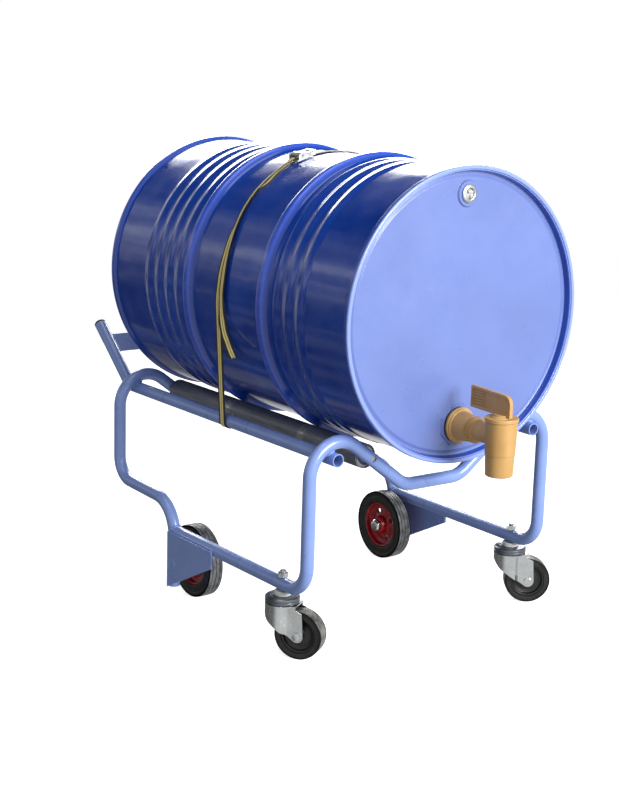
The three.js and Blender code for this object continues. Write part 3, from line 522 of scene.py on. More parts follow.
def lit_head_enamel(settings):
    # The same stoved enamel on the pressed ends, drawn in a much lighter blue that is painted light for the
    # strong light falling on them: satin, with faint clouding and stacking scuffs. Its orange peel is drawn
    # coarser than it is, at 7 mm.
    s = Surface("stoved_enamel_blue_painted_light", Metallic=0.0, IOR=1.5, Coat_Weight=0.25, Coat_Roughness=0.12)
    clouds = s.ranged(s.speckle(190, 3.0), 0.3, 0.72)
    # Painted light: both colours of the ends are lit tints, far lighter than the drum's own enamel.
    paint = s.mixed(clouds, tuple(settings.head_lit_colour), tuple(settings.head_lit_colour_light))
    grain = s.ranged(s.speckle(6.0, 2.0), 0.3, 0.7, 0.0, 0.1)
    paint = s.mixed(grain, paint, linear("#5f71b4"))
    marks = s.scratches(26, 0.6, ((0.2, 0.4, 0.1), (1.2, 0.2, 0.8)), 0.6)
    paint = s.mixed(s.sum("MULTIPLY", marks, 0.3), paint, linear("#a3b0dc"))
    s.link(paint, "Base Color")
    s.link(s.ranged(s.speckle(40, 4.0), 0.3, 0.7, 0.26, 0.4), "Roughness")
    waves = s.relief(s.speckle(130, 2.0), 0.8)
    s.link(s.relief(s.speckle(7.0, 2.0), 0.03, 0.5, waves), "Normal")
    return s.material


def powder_coat(settings):
    # Polyester powder coat on welded tube: even gloss, with the orange peel of a baked powder drawn
    # coarser than it is, at 5 mm.
    s = Surface("powder_coat_light_blue", Metallic=0.0, IOR=1.5, Coat_Weight=0.3, Coat_Roughness=0.1)
    tone = s.ranged(s.speckle(60, 3.0), 0.3, 0.7)
    paint = s.mixed(tone, tuple(settings.frame_colour), tuple(settings.frame_colour_light))
    dust = s.ranged(s.speckle(5.0, 2.0), 0.3, 0.7, 0.0, 0.12)
    paint = s.mixed(dust, paint, linear("#5f74ac"))
    s.link(paint, "Base Color")
    s.link(s.ranged(s.speckle(30, 3.0), 0.3, 0.7, 0.26, 0.34), "Roughness")
    s.link(s.relief(s.speckle(5.0, 2.0), 0.03, 0.5), "Normal")
    return s.material


def hub_enamel(settings):
    # Red enamel sprayed on a pressed steel centre: thick and glossy, darker where it pools.
    s = Surface("sprayed_enamel_crimson", Metallic=0.0, IOR=1.5, Coat_Weight=0.4, Coat_Roughness=0.08)
    pools = s.ranged(s.speckle(14, 3.0), 0.3, 0.7)
    s.link(s.mixed(pools, tuple(settings.hub_colour), linear("#7d0a18")), "Base Color")
    s.link(s.ranged(s.speckle(8, 3.0), 0.3, 0.7, 0.2, 0.36), "Roughness")
    s.link(s.relief(s.speckle(2.4, 2.0), 0.03, 0.8), "Normal")
    return s.material


def moulded_rubber(name, dark, light, gloss):
    # Solid moulded rubber: near black, satin, with the greyish bloom and fine pores of a cured compound.
    s = Surface(name, Metallic=0.0, IOR=1.52)
    bloom = s.ranged(s.speckle(16, 5.0, 0.6), 0.42, 0.68)
    s.link(s.mixed(bloom, linear(dark), linear(light)), "Base Color")
    s.link(s.ranged(s.speckle(7, 4.0), 0.3, 0.7, gloss, gloss + 0.16), "Roughness")
    s.link(s.relief(s.speckle(0.9, 4.0), 0.05, 0.7), "Normal")
    return s.material


def drawn_tube():
    # Unpainted drawn steel tube with a thin oil film: dull grey, streaked along its length, with a soft
    # lighter band where each of the drum's two hoops runs.
    s = Surface("drawn_steel_oiled", Metallic=0.55)
    along = s.stretched((1.0, 0.04, 1.0))
    streaks = s.ranged(s.speckle(2.2, 4.0, 0.6, along), 0.3, 0.7)
    colour = s.mixed(streaks, linear("#676a72"), linear("#8b8d94"))
    height = s.node("SeparateXYZ", {0: s.place}).outputs["Y"]
    polish = None
    for hoop in HOOPS:
        far = s.sum("ABSOLUTE", s.sum("SUBTRACT", height, at(0, hoop, 0).y))
        band = s.ranged(far, 0.016, 0.005, smooth=True)
        polish = band if polish is None else s.sum("MAXIMUM", polish, band)
    s.link(s.mixed(s.sum("MULTIPLY", polish, 0.6), colour, linear("#b0ada6")), "Base Color")
    rough = s.ranged(s.speckle(12, 4.0), 0.3, 0.7, 0.36, 0.52)
    s.link(s.sum("SUBTRACT", rough, s.sum("MULTIPLY", polish, 0.16)), "Roughness")
    s.link(s.relief(streaks, 0.02, 0.6), "Normal")
    return s.material


def zinc_plate(name, dark, light, rough):
    # Bright zinc on pressed steel: a cool metal with the faint spangle and handling marks of barrel plating.
    s = Surface(name, Metallic=1.0)
    cells = s.node("TexVoronoi", {"Vector": s.place, "Scale": per_metre(3.0)}, feature="SMOOTH_F1")
    tone = s.ranged(cells.outputs["Distance"], 0.1, 0.7)
    cloud = s.ranged(s.speckle(18, 4.0), 0.3, 0.7)
    colour = s.mixed(s.sum("MULTIPLY", tone, 0.08), linear(light), linear(dark))
    s.link(s.mixed(s.sum("MULTIPLY", cloud, 0.3), colour, linear(dark)), "Base Color")
    s.link(s.ranged(s.speckle(10, 4.0), 0.3, 0.7, rough, rough + 0.14), "Roughness")
    s.link(s.relief(s.speckle(8.0, 2.0), 0.02, 0.5), "Normal")
    return s.material


def turned_steel(name, colour, rough):
    # Bright machined steel: fine tool marks, a slightly warm grey.
    s = Surface(name, Metallic=1.0)
    lines = s.ranged(s.speckle(0.9, 2.0, 0.5), 0.3, 0.7)
    s.link(s.mixed(s.sum("MULTIPLY", lines, 0.35), linear(colour), linear("#8f8e8a")), "Base Color")
    s.link(s.ranged(s.speckle(6, 4.0), 0.3, 0.7, rough, rough + 0.12), "Roughness")
    s.link(s.relief(lines, 0.01, 0.5), "Normal")
    return s.material


def moulded_plastic(name, dark, light, rough, grain_mm=1.2, sheen=0.0):
    # Injection-moulded plastic: even colour with faint flow clouds and a finely sparked skin.
    s = Surface(name, Metallic=0.0, IOR=1.49, Subsurface_Weight=sheen, Subsurface_Scale=0.002)
    flow = s.ranged(s.speckle(24, 3.0, 0.4, s.stretched((1.0, 1.0, 0.35))), 0.3, 0.7)
    s.link(s.mixed(flow, linear(dark), linear(light)), "Base Color")
    s.link(s.ranged(s.speckle(9, 3.0), 0.3, 0.7, rough, rough + 0.12), "Roughness")
    s.link(s.relief(s.speckle(grain_mm, 3.0), 0.02, 0.7), "Normal")
    return s.material


def woven_webbing(settings):
    # Woven polyester webbing: matt threads in a chevron twill, yellow with black selvages, and a dark
    # middle line that is painted shade, for the gap where two strands overlap.
    # The real thread pitch of 1 mm is drawn at 3 mm so that it shows.
    s = Surface("woven_polyester_webbing", Metallic=0.0, IOR=1.5, Sheen_Weight=0.08, Sheen_Roughness=0.4)
    uv = s.node("SeparateXYZ", {0: s.node("TexCoord").outputs["UV"]})
    across, along = uv.outputs["X"], uv.outputs["Y"]
    middle = s.sum("ABSOLUTE", s.sum("SUBTRACT", across, 0.5))
    edge = s.ranged(middle, 0.22, 0.25)
    # Painted shade: a dark line down the middle of every band, for the gap between overlapping strands.
    line = s.ranged(middle, 0.06, 0.03)
    thread = s.sum("ADD", s.sum("MULTIPLY", along, per_metre(3.0)), s.sum("MULTIPLY", middle, 7.0))
    wave = s.sum("SINE", s.sum("MULTIPLY", thread, math.tau))
    ribs = s.sum("SINE", s.sum("MULTIPLY", across, math.tau * 11))
    weave = s.sum("ADD", s.sum("MULTIPLY", wave, 0.5), s.sum("MULTIPLY", ribs, 0.35))
    yellow = s.mixed(s.ranged(weave, -0.8, 0.8), linear("#dcc26c"), tuple(settings.web_colour))
    yellow = s.mixed(s.ranged(s.speckle(18, 3.0), 0.4, 0.7, 0.0, 0.3), yellow, linear("#c8bc80"))
    black = s.mixed(s.ranged(weave, -0.8, 0.8), linear("#0d0d0c"), linear("#2a2924"))
    # The painted shade of that middle line is mixed into the yellow here.
    centre = s.mixed(s.sum("MULTIPLY", line, 0.65), yellow, linear("#4a4426"))
    s.link(s.mixed(edge, centre, black), "Base Color")
    s.link(s.ranged(s.speckle(3, 3.0), 0.3, 0.7, 0.62, 0.8), "Roughness")
    s.link(s.relief(weave, 0.25, 0.8), "Normal")
    return s.material


MATERIALS = {
    "drum": drum_enamel,
    "head": lit_head_enamel,
    "frame": powder_coat,
    "hub": hub_enamel,
    "webbing": woven_webbing,
    "tyre": lambda s: moulded_rubber("moulded_rubber_black", "#12120f", "#2b2a24", 0.3),
    # Painted highlight: the rear tyres' tread is drawn light grey, standing in for light on the black rubber.
    "tread": lambda s: moulded_rubber("moulded_rubber_tread_painted_highlight", "#3c3e3f", "#6d7072", 0.34),
    "caster_tyre": lambda s: moulded_rubber("moulded_rubber_caster", "#0f0f0e", "#232320", 0.26),
    "caster_tread": lambda s: moulded_rubber("moulded_rubber_caster_tread", "#33332f", "#7a7972", 0.3),
    "plug_rubber": lambda s: moulded_rubber("moulded_rubber_plug", "#15150f", "#34331f", 0.4),
    "roller": lambda s: drawn_tube(),
    "zinc": lambda s: zinc_plate("zinc_plated_pressed_steel", "#9a9fa0", "#d6d9d9", 0.2),
    "dark_zinc": lambda s: zinc_plate("zinc_plated_race_dull", "#474b52", "#7d8288", 0.32),
    "buckle": lambda s: zinc_plate("zinc_plated_buckle", "#989b99", "#c6c9c7", 0.26),
    "steel": lambda s: turned_steel("turned_bright_steel", "#bdbcb8", 0.22),
    "chrome": lambda s: turned_steel("plated_pressed_cap", "#d6d7d6", 0.1),
    "core": lambda s: moulded_plastic("moulded_polypropylene_black", "#0e0e0e", "#1d1d1c", 0.32),
    "nylon": lambda s: moulded_plastic("turned_nylon_natural", "#d2d2cc", "#ecece7", 0.4, 1.0, 0.1),
    "tap": lambda s: moulded_plastic("moulded_polypropylene_ochre", "#b0884e", "#c1995f", 0.38, 1.4, 0.05),
    "gasket": lambda s: moulded_rubber("moulded_rubber_gasket", "#121212", "#222222", 0.5),
}
_made = {}


def paint(name):
    """One of the dolly's materials, made once."""
    if name not in _made:
        _made[name] = MATERIALS[name](bpy.context.scene.dolly_paint)
    return _made[name]


# ---------- what a user would change ----------
def colour(name, code, description):
    return FloatVectorProperty(name=name, description=description, subtype="COLOR", default=linear(code))


class DollyPaint(bpy.types.PropertyGroup):
    """Colours of the dolly's finishes."""
    drum_colour: colour("Drum", "#0a3796", "Enamel of the drum's wall")
    drum_colour_light: colour("Drum, lighter", "#1142a6", "Where that enamel is thinner")
    # Painted highlights: the crest and rim colours are lighter tints standing in for light on the hoops and rims.
    crest_highlight_colour: colour("Crests", "#3557c8", "The enamel on the crests of the rolling hoops")
    rim_highlight_colour: colour("Rims", "#8296dc", "The enamel rubbed thin on the lips of the rims")
    # Painted light: the colours of the drum's ends are lit tints of the drum's blue enamel.
    head_lit_colour: colour("Drum ends", "#6374ae", "Enamel of the drum's ends")
    head_lit_colour_light: colour("Drum ends, lighter", "#6a7cb8", "Where that enamel is thinner")
    frame_colour: colour("Frame", "#7b93cf", "Powder coat of the frame")
    frame_colour_light: colour("Frame, lighter", "#829ad6", "Where that powder coat is thinner")
    hub_colour: colour("Wheel hubs", "#b00a1c", "Enamel of the rear wheels' hubs")
    web_colour: colour("Webbing", "#fff0aa", "Middle of the strap's webbing")


class DollyMake(bpy.types.PropertyGroup):
    """Sizes of the dolly's finish work."""
    tube_sides: IntProperty(name="Tube sides", description="Sides of a tube's round section", default=40,
                            min=12)
    round_steps: IntProperty(name="Round steps", description="Steps around a wheel", default=96, min=24)
    drum_steps: IntProperty(name="Drum steps", description="Steps around the drum", default=256, min=64)
    hoop_rise: FloatProperty(
        name="Hoop rise", description="Height of a rolling hoop above the drum's wall",
        default=0.012, unit="LENGTH")
    bead_rise: FloatProperty(
        name="Bead rise", description="Height of a stiffening bead above the drum's wall",
        default=0.003, unit="LENGTH")
    weld_radius: FloatProperty(
        name="Weld radius", description="Half the width of a weld bead", default=0.0026, unit="LENGTH")
    edge_break: FloatProperty(
        name="Broken edges", description="Width of the rounding on cut plates", default=0.0008,
        unit="LENGTH")
    strap_thickness: FloatProperty(
        name="Strap thickness", description="Thickness of the webbing", default=0.0016, unit="LENGTH")


def make():
    return bpy.context.scene.dolly_make


# ---------- stage ----------
CAMERA_AT = (-2069.05, -2292.76, 1194.17)
CAMERA_YAW, CAMERA_PITCH, CAMERA_ROLL = (math.radians(a) for a in (36.476, 12.553, 1.637))
CAMERA_LENS = 72.18
FLOOR_RADIUS = 3000
FILL_FRONT, FILL_BACK = 0.5, 0.26  # strength of the room's soft light from the tap's side and from behind
ROOM_FRONT = 0.75  # brightness of that side of the room in reflections


def make_camera():
    """The camera stands to the left of the tap, above the drum's middle, and looks a little down."""
    forward = Vector((math.sin(CAMERA_YAW), math.cos(CAMERA_YAW), -math.tan(CAMERA_PITCH))).normalized()
    right = forward.cross(Z).normalized()
    up = right.cross(forward)
    tilt = Matrix.Rotation(-CAMERA_ROLL, 3, forward)
    right, up = tilt @ right, tilt @ up
    camera = bpy.data.objects.new("camera", bpy.data.cameras.new("camera"))
    camera.data.lens = CAMERA_LENS
    camera.data.sensor_width = 36
    camera.matrix_world = Matrix.Translation(at(*CAMERA_AT)) @ Matrix((right, up,
                                                                       -forward)).transposed().to_4x4()
    bpy.context.scene.collection.objects.link(camera)
    bpy.context.scene.camera = camera


def card(name, place, target, size, power):
    """A soft area light that the camera doesn't see."""
    data = bpy.data.lights.new(name, "AREA")
    data.shape = "RECTANGLE"
    data.size, data.size_y = size
    data.energy = power
    light = bpy.data.objects.new(name, data)
    light.location = place
    light.rotation_euler = (Vector(target) - Vector(place)).to_track_quat("-Z", "Y").to_euler()
    light.visible_camera = False
    bpy.context.scene.collection.objects.link(light)
    return light


def make_floor():
    # A plain pale studio floor that glows a little of its own and throws no light on the dolly.
    s = Surface("studio_floor_matt", Metallic=0.0)
    s.link(s.mixed(s.ranged(s.speckle(900, 2.0), 0.3, 0.7), linear("#f4f4f4"), linear("#f7f7f7")),
           "Base Color")
    s.link(s.ranged(s.speckle(400, 2.0), 0.3, 0.7, 0.7, 0.8), "Roughness")
    s.shader.inputs["Emission Color"].default_value = (1, 1, 1, 1)
    s.shader.inputs["Emission Strength"].default_value = 0.75
    outline = [(x, y + DRUM_LENGTH / 2, 0) for x, y in circle(FLOOR_RADIUS, 96)]
    floor = piece("floor", (outline, [list(range(96))]))
    floor.data.materials.append(s.material)
    floor.visible_diffuse = floor.visible_glossy = False


def make_lights():
    """A white room, bright in reflections on the tap's side only, and three soft cards."""
    world = bpy.data.worlds.new("studio")
    bpy.context.scene.world = world
    world.use_nodes = True
    tree = world.node_tree
    back = tree.nodes["Background"]
    rays = add_node(tree, "LightPath").outputs
    towards = add_node(tree, "TexCoord").outputs["Generated"]
    axes = add_node(tree, "SeparateXYZ", {0: towards}).outputs

    def ranged(value, low_in, high_in, low_out, high_out):
        inputs = {"Value": value, "From Min": low_in, "From Max": high_in, "To Min": low_out,
                  "To Max": high_out}
        return add_node(tree, "MapRange", inputs, interpolation_type="SMOOTHSTEP").outputs["Result"]

    def product(one, two):
        return add_node(tree, "Math", {0: one, 1: two}, operation="MULTIPLY").outputs[0]

    band = product(ranged(axes["Z"], -0.45, -0.02, 0.3, 1.0), ranged(axes["Z"], 0.2, 0.6, 1.0, 0.12))
    things = add_node(tree, "TexNoise", {"Vector": towards, "Scale": 9.0, "Detail": 3.0}).outputs["Fac"]
    room = product(band, ranged(things, 0.44, 0.58, 0.08, 0.75))
    over = product(ranged(axes["Z"], 0.08, 0.24, 0.0, 0.6), ranged(axes["Z"], 0.3, 0.5, 1.0, 0.0))
    over = product(over, ranged(things, 0.35, 0.65, 0.4, 1.3))
    room = add_node(tree, "Math", {0: room, 1: over}, operation="ADD").outputs[0]
    behind = product(ranged(axes["X"], 0.25, 0.55, 0.0, 0.9), ranged(axes["Z"], 0.0, 0.12, 1.0, 0.0))
    room = add_node(tree, "Math", {0: room, 1: behind}, operation="MAXIMUM").outputs[0]
    facing = ranged(axes["Y"], -0.35, 0.1, 1.0, 0.0)
    room = add_node(tree, "Mix", {0: facing, 2: room, 3: ROOM_FRONT}).outputs[0]
    soft = ranged(axes["Y"], -0.7, 0.7, FILL_FRONT, FILL_BACK)
    soft = add_node(tree, "Mix", {0: rays["Is Camera Ray"], 2: soft, 3: 1.0}).outputs[0]
    strength = add_node(tree, "Mix", {0: rays["Is Glossy Ray"], 2: soft, 3: room}).outputs[0]
    tree.links.new(strength, back.inputs["Strength"])
    back.inputs["Color"].default_value = (1, 1, 1, 1)
    middle = at(0, DRUM_LENGTH / 2, 700)
    card("card_back_low", at(1800, 3150, 2000), at(0, DRUM_LENGTH / 2, 970), (3.4, 1.3),
         130).visible_diffuse = False
    card("card_front", at(700, -3600, 1900), middle, (2.2, 2.0), 265)
    card("card_over", at(-400, 300, 3600), middle, (1.6, 2.4), 25)
    bpy.context.scene.view_settings.view_transform = "Standard"


# ---------- frame ----------
def mirrored(corners):
    """The corners on the left, in reverse order, then those on the right."""
    left = [((-x, y, z), bend) for (x, y, z), bend in reversed(corners)]
    return left + corners


def cradle_half(y):
    return [((CRADLE_X, y, CRADLE_Z), 60), ((LEG_X, y, TOP_CORNER_Z), TOP_BEND)]


def rod(radius, start, end, steps=32):
    return spun([(0, start), (radius, start), (radius, end), (0, end)], steps)


def axle_holes(y):
    return [piece("drill", rod(6.35, -30, 30), None, aimed(Y, (side * ROLLER.x, y, ROLLER.z))) for _,
            side in SIDES]


def make_front_tube():
    rail = [((LEG_X, FRONT_HOOP_Y, RAIL_Z), 55), ((LEG_X, REAR_LEG_Y, RAIL_Z), 0)]
    tube = pipe(mirrored(cradle_half(FRONT_HOOP_Y) + rail), TUBE_RADIUS, TUBE_WALL, make().tube_sides)
    obj = piece("front_hoop_and_rails", tube, "frame")
    tools = axle_holes(FRONT_HOOP_Y)
    for _, side in SIDES:
        tools.append(piece("drill", rod(6.3, -30, 30), None,
                           Matrix.Translation((side * LEG_X, CASTER_Y, RAIL_Z))))
        cope = rod(TUBE_RADIUS + COPE_GAP, -60, 60, 96)
        tools.append(piece("cope", cope, None, Matrix.Translation((side * LEG_X, REAR_LEG_Y, RAIL_Z))))
    on_body(combine(obj, tools), "frame", "frame_paint", "front_frame_tube")


def make_rear_tube():
    leg = [
        ((LEG_X, REAR_HOOP_Y, RAIL_Z + 68), 50),
        ((LEG_X, REAR_LEG_Y, RAIL_Z + 60), 75),
        ((LEG_X, REAR_LEG_Y, PLATE_FOOT), 0),
    ]
    tube = pipe(mirrored(cradle_half(REAR_HOOP_Y) + leg), TUBE_RADIUS, TUBE_WALL, make().tube_sides)
    obj = combine(piece("rear_hoop_and_legs", tube, "frame"), axle_holes(REAR_HOOP_Y))
    on_body(obj, "frame", "frame_paint", "rear_frame_tube")


def toe_matrix(x, along):
    """Lays X across, Y up the toe tubes and Z square to them, at a distance along them."""
    turn = Matrix((X, TOE_ALONG, TOE_ACROSS)).transposed().to_4x4()
    return Matrix.Translation(Vector((x, TOE_Y, SIDE_TUBE_Z)) + TOE_ALONG * along) @ turn


def make_side_tubes():
    for name, side in SIDES:
        end = Vector((side * SIDE_TUBE_X, TOE_Y, SIDE_TUBE_Z)) + TOE_ALONG * TOE_LENGTH
        corners = [
            ((side * SIDE_TUBE_X, FRONT_HOOP_Y - 23.5, SIDE_TUBE_Z), 0),
            ((side * SIDE_TUBE_X, TOE_Y, SIDE_TUBE_Z), 45),
            (end, 0),
        ]
        tube = piece(name + "_side_rail",
                     pipe(corners, TUBE_RADIUS, TUBE_WALL, make().tube_sides, 0.6, 60), "frame")
        on_body(tube, "frame", "frame_paint", name + "_side_tube")
        dome = [(0, -16), (9.4, -16), (10.2, -14), (10.2, 0.2), (TUBE_RADIUS, 0.2), (TUBE_RADIUS, 3.2)]
        dome += [(TUBE_RADIUS - 2.2, 5.6), (TUBE_RADIUS - 6, 6.3), (0, 6.6)]
        plug = piece(name + "_toe_tube_plug", spun(rounded(dome, 1.2), 48), "plug_rubber",
                     aimed(TOE_ALONG, end))
        on_body(plug, "frame", "black_rubber", name + "_toe_plug")


def make_toe_plate():
    middle = TOE_BAR_AT
    outline = [(x, y) for x, y in ((-SIDE_TUBE_X, -TOE_BAR_HALF), (SIDE_TUBE_X, -TOE_BAR_HALF),
                                   (SIDE_TUBE_X, TOE_BAR_HALF), (-SIDE_TUBE_X, TOE_BAR_HALF))]
    plate = piece("toe_bar_plate", extruded(outline, -2.5, 2.5), "frame", toe_matrix(0, middle))
    copes = []
    for _, side in SIDES:
        centre = Vector((side * SIDE_TUBE_X, TOE_Y, SIDE_TUBE_Z)) + TOE_ALONG * middle
        copes.append(piece("cope", rod(TUBE_RADIUS + COPE_GAP, -60, 60, 96), None,
                           aimed(TOE_ALONG, centre)))
    soften(combine(plate, copes), make().edge_break / MM)
    on_body(plate, "frame", "frame_paint", "toe_plate")


def make_wheel_plates():
    outline = [(REAR_LEG_Y - 175, PLATE_TOP), (REAR_LEG_Y - 175, PLATE_TOP - 37), (REAR_LEG_Y, PLATE_FOOT)]
    outline.append((REAR_LEG_Y, PLATE_TOP))
    inner = LEG_X + TUBE_RADIUS + GAP
    axle = joint_spot("right_wheel_spin")
    for name, side in SIDES:
        start, end = sorted((side * inner, side * (inner + 5)))
        plate = piece(name + "_wheel_side_plate", extruded(outline, start, end), "frame", across_yz())
        drill = piece("drill", rod(8.3, inner - 5, inner + 10), None, aimed(X * side, (0, axle.y, axle.z)))
        soften(combine(plate, [drill]), make().edge_break / MM)
        on_body(plate, "frame", "frame_paint", name + "_wheel_plate")


def weld(points, closed=False, size=1.0):
    """A rippled weld bead along points a millimetre or so apart."""
    radius = make().weld_radius / MM * size
    lengths = [0.0]
    for one, two in zip(points, points[1:]):
        lengths.append(lengths[-1] + (two - one).length)

    def swell(i):
        taper = 1.0 if closed else min(1.0, 0.35 + min(lengths[i], lengths[-1] - lengths[i]) / 3)
        return taper * (1 + 0.1 * math.sin(lengths[i] * math.tau / 2.6) + 0.12 * noise.noise(points[i] * 0.11))
    return swept(points, circle(radius, 12), closed, True, swell)


def line(start, end, step=0.8):
    start, end = Vector(start), Vector(end)
    count = max(2, round((end - start).length / step))
    return [start.lerp(end, k / count) for k in range(count + 1)]


def make_welds():
    """Beads where the tubes, the toe bar and the wheel plates are joined, under the same powder coat."""
    saddles, contacts, toe, plates = [], [], [], []
    axle = joint_spot("right_wheel_spin")
    inner = LEG_X + TUBE_RADIUS + GAP
    for _, side in SIDES:
        ring = []
        for k in range(110):
            t = math.tau * k / 110
            ring.append(Vector((
                side * LEG_X + side * TUBE_RADIUS * math.cos(t),
                REAR_LEG_Y - TUBE_RADIUS * abs(math.sin(t)),
                RAIL_Z + TUBE_RADIUS * math.sin(t))))
        saddles.append(weld(ring, True))
        out = Vector((side * math.sin(SIDE_TUBE_LEAN), 0, math.cos(SIDE_TUBE_LEAN)))
        along_hoop = out.cross(Y)
        for y in (FRONT_HOOP_Y, REAR_HOOP_Y):
            touch = Vector((side * TOP_ARC_X, y, TOP_ARC_Z)) + out * (TOP_BEND - TUBE_RADIUS)
            ring = []
            for k in range(72):
                u, v = 9 * math.cos(math.tau * k / 72), 9 * math.sin(math.tau * k / 72)
                ring.append(touch + Y * u + along_hoop * v + out * (u * u - v * v) / (4 * TUBE_RADIUS))
            contacts.append(weld(ring, True))
        edge = SIDE_TUBE_X - TUBE_RADIUS + 0.1
        loop = rounded([(-25, -2.4), (25, -2.4), (25, 2.4), (-25, 2.4)], 1.6, 3, True)
        place = toe_matrix(side * edge, TOE_BAR_AT)
        corners = [place @ Vector((0, a, b)) for a, b in loop]
        points = []
        for one, two in zip(corners, corners[1:] + corners[:1]):
            points += line(one, two)[:-1]
        toe.append(weld(points, True, 0.8))
        top = (side * (inner - 0.9), RAIL_Z + 3.4)
        plates.append(weld(line((top[0], REAR_LEG_Y - 172, top[1]), (top[0], REAR_LEG_Y - 16, top[1]))))
        back = (side * (inner - 0.5), REAR_LEG_Y + 1.6)
        plates.append(weld(line((*back, PLATE_FOOT + 8), (*back, PLATE_TOP - 8))))
        collar = [Vector((side * (inner + 5), axle.y + x, axle.z + y)) for x, y in circle(9.4, 60)]
        plates.append(weld(collar, True, 0.7))
    for name, beads in (("rail_leg_welds", saddles), ("side_rail_welds", contacts),
                        ("toe_bar_welds", toe), ("wheel_plate_welds", plates)):
        on_body(piece(name, together(*beads), "frame", sharp=80), "frame", "frame_paint")


# ---------- rollers ----------
ROLLER_RADIUS = 25
ROLLER_BORE = 21


def make_rollers():
    start, end = FRONT_HOOP_Y + TUBE_RADIUS + 2, REAR_HOOP_Y - TUBE_RADIUS - 2
    tube = [(ROLLER_BORE, start), (ROLLER_RADIUS, start), (ROLLER_RADIUS, end), (ROLLER_BORE, end)]
    axle = [(0, FRONT_HOOP_Y - 10.4), (6, FRONT_HOOP_Y - 10.4), (6, REAR_HOOP_Y + 10.4),
            (0, REAR_HOOP_Y + 10.4)]
    races = [(6.35, 0), (9, 0), (9.2, 0.8), (16.6, 0.8), (16.8, 0), (20.7, 0)]
    races += [(20.7, 12), (16.8, 12), (16.6, 11.2), (9.2, 11.2), (9, 12), (6.35, 12)]
    for name, side in SIDES:
        place = aimed(Y, (side * ROLLER.x, 0, ROLLER.z))
        body = name + "_roller"
        drum_roller = piece(name + "_roller", spun(rounded(tube, 0.8, 3, True), make().round_steps),
                            "roller", place)
        on_body(drum_roller, body, "roller_steel", name + "_roller_tube")
        shaft = piece(name + "_roller_shaft", spun(rounded(axle, 0.8, 3), 40), "steel", place)
        on_body(shaft, "frame", "bright_steel", name + "_roller_axle")
        for end_name, y in (("front", start + 1), ("rear", end - 13)):
            bearing = spun(rounded(races, 0.3, 2, True), 64)
            bearing = piece(f"{name}_{end_name}_ball_race", bearing, "steel",
                            place @ Matrix.Translation((0, 0, y)))
            on_body(bearing, body, "bright_steel", f"{name}_roller_{end_name}_bearing")


# ---------- rear wheels ----------
WHEEL_RADIUS = 80
HUB_RIM = 53
TYRE_HALF = 16  # half the width of a tyre


def second_coat(obj, coat, chosen):
    """Gives another finish to the faces whose middle, in metres of the frame, is chosen."""
    obj.data.materials.append(paint(coat))
    for face in obj.data.polygons:
        if chosen(face.center):
            face.material_index = 1


def tyre_profile(rim, tread, half, grooves):
    """A solid tyre's section: bead at the rim, recessed sidewall ring, round shoulders and grooved tread."""
    # Two known folds: the sidewall runs 4 mm past the start of the shoulder's arc and back, which leaves a
    # ring without thickness, and on the casters' narrow tyres the bead's line crosses the sidewall's.
    side = [(rim, -half + 3), (rim + 1.5, -half + 0.6), (rim + 4, -half), (tread - 13, -half),
            (tread - 12, -half + 0.7)]
    side += [(tread - 10.5, -half + 0.7), (tread - 9.5, -half), (tread, -half)]
    side = rounded(side + [(tread, 0)], 0.5,
                   2)[:-3] + rounded([side[-2], (tread, -half, 7.5), (tread, 0)], 7.5, 8)[1:-1]
    cuts = []
    for place in grooves:
        cuts += [(tread, place - 0.9), (tread - 1.6, place - 0.4), (tread - 1.6, place + 0.4),
                 (tread, place + 0.9)]
    other = [(radius, -height) for radius, height in side][::-1]
    return side + cuts + other


def make_rear_wheels():
    steps = make().round_steps
    for name, side in SIDES:
        centre = joint_spot(name + "_wheel_spin")
        centre.x = side * joint_spot("right_wheel_spin").x
        place = aimed(X * side, centre)
        body = name + "_rear_wheel"
        middle = at(*centre)

        def on_tread(point, middle=middle):
            return math.hypot(point.y - middle.y, point.z - middle.z) > (WHEEL_RADIUS - 1.2) * MM

        tyre = piece(name + "_solid_tyre",
                     spun(tyre_profile(HUB_RIM, WHEEL_RADIUS, TYRE_HALF, (-9, 0, 9)), steps), "tyre", place)
        # Painted highlight: the tread faces get the light grey rubber that stands in for light on them.
        second_coat(tyre, "tread", on_tread)
        on_body(tyre, body, "tyre_rubber", name + "_rear_tyre")
        on_body(rear_hub(name, place), body, "hub_paint", name + "_rear_hub")
        races = [(8.35, -19), (11, -19), (11.2, -18), (12.6, -18), (13, -19)]
        races += [(13, 19), (12.6, 18), (11.2, 18), (11, 19), (8.35, 19)]
        bearing = piece(name + "_wheel_ball_race", spun(races, 64), "steel", place)
        on_body(bearing, body, "bright_steel", name + "_rear_bearing")
        end = LEG_X + TUBE_RADIUS + 6.3 - centre.x * side
        shaft = [(0, -26), (8, -26), (8, end), (0, end)]
        axle = piece(name + "_wheel_axle", spun(rounded(shaft, 0.8, 3), 48), "steel", place)
        second_coat(axle, "frame", lambda point: abs(spot(point).x) > LEG_X + TUBE_RADIUS + 5)
        on_body(axle, "frame", "bright_steel", name + "_rear_axle")
        cap = [(0, -32.2), (6, -31.8), (11, -30.4), (14, -26.5), (14, -21.5), (13, -21), (8.3, -21)]
        cap += [(8.3, -26.4), (0, -26.4)]
        on_body(piece(name + "_axle_push_cap", spun(rounded(cap, 2.0, 4), 64), "chrome", place),
                "frame", "bright_chrome", name + "_axle_cap")


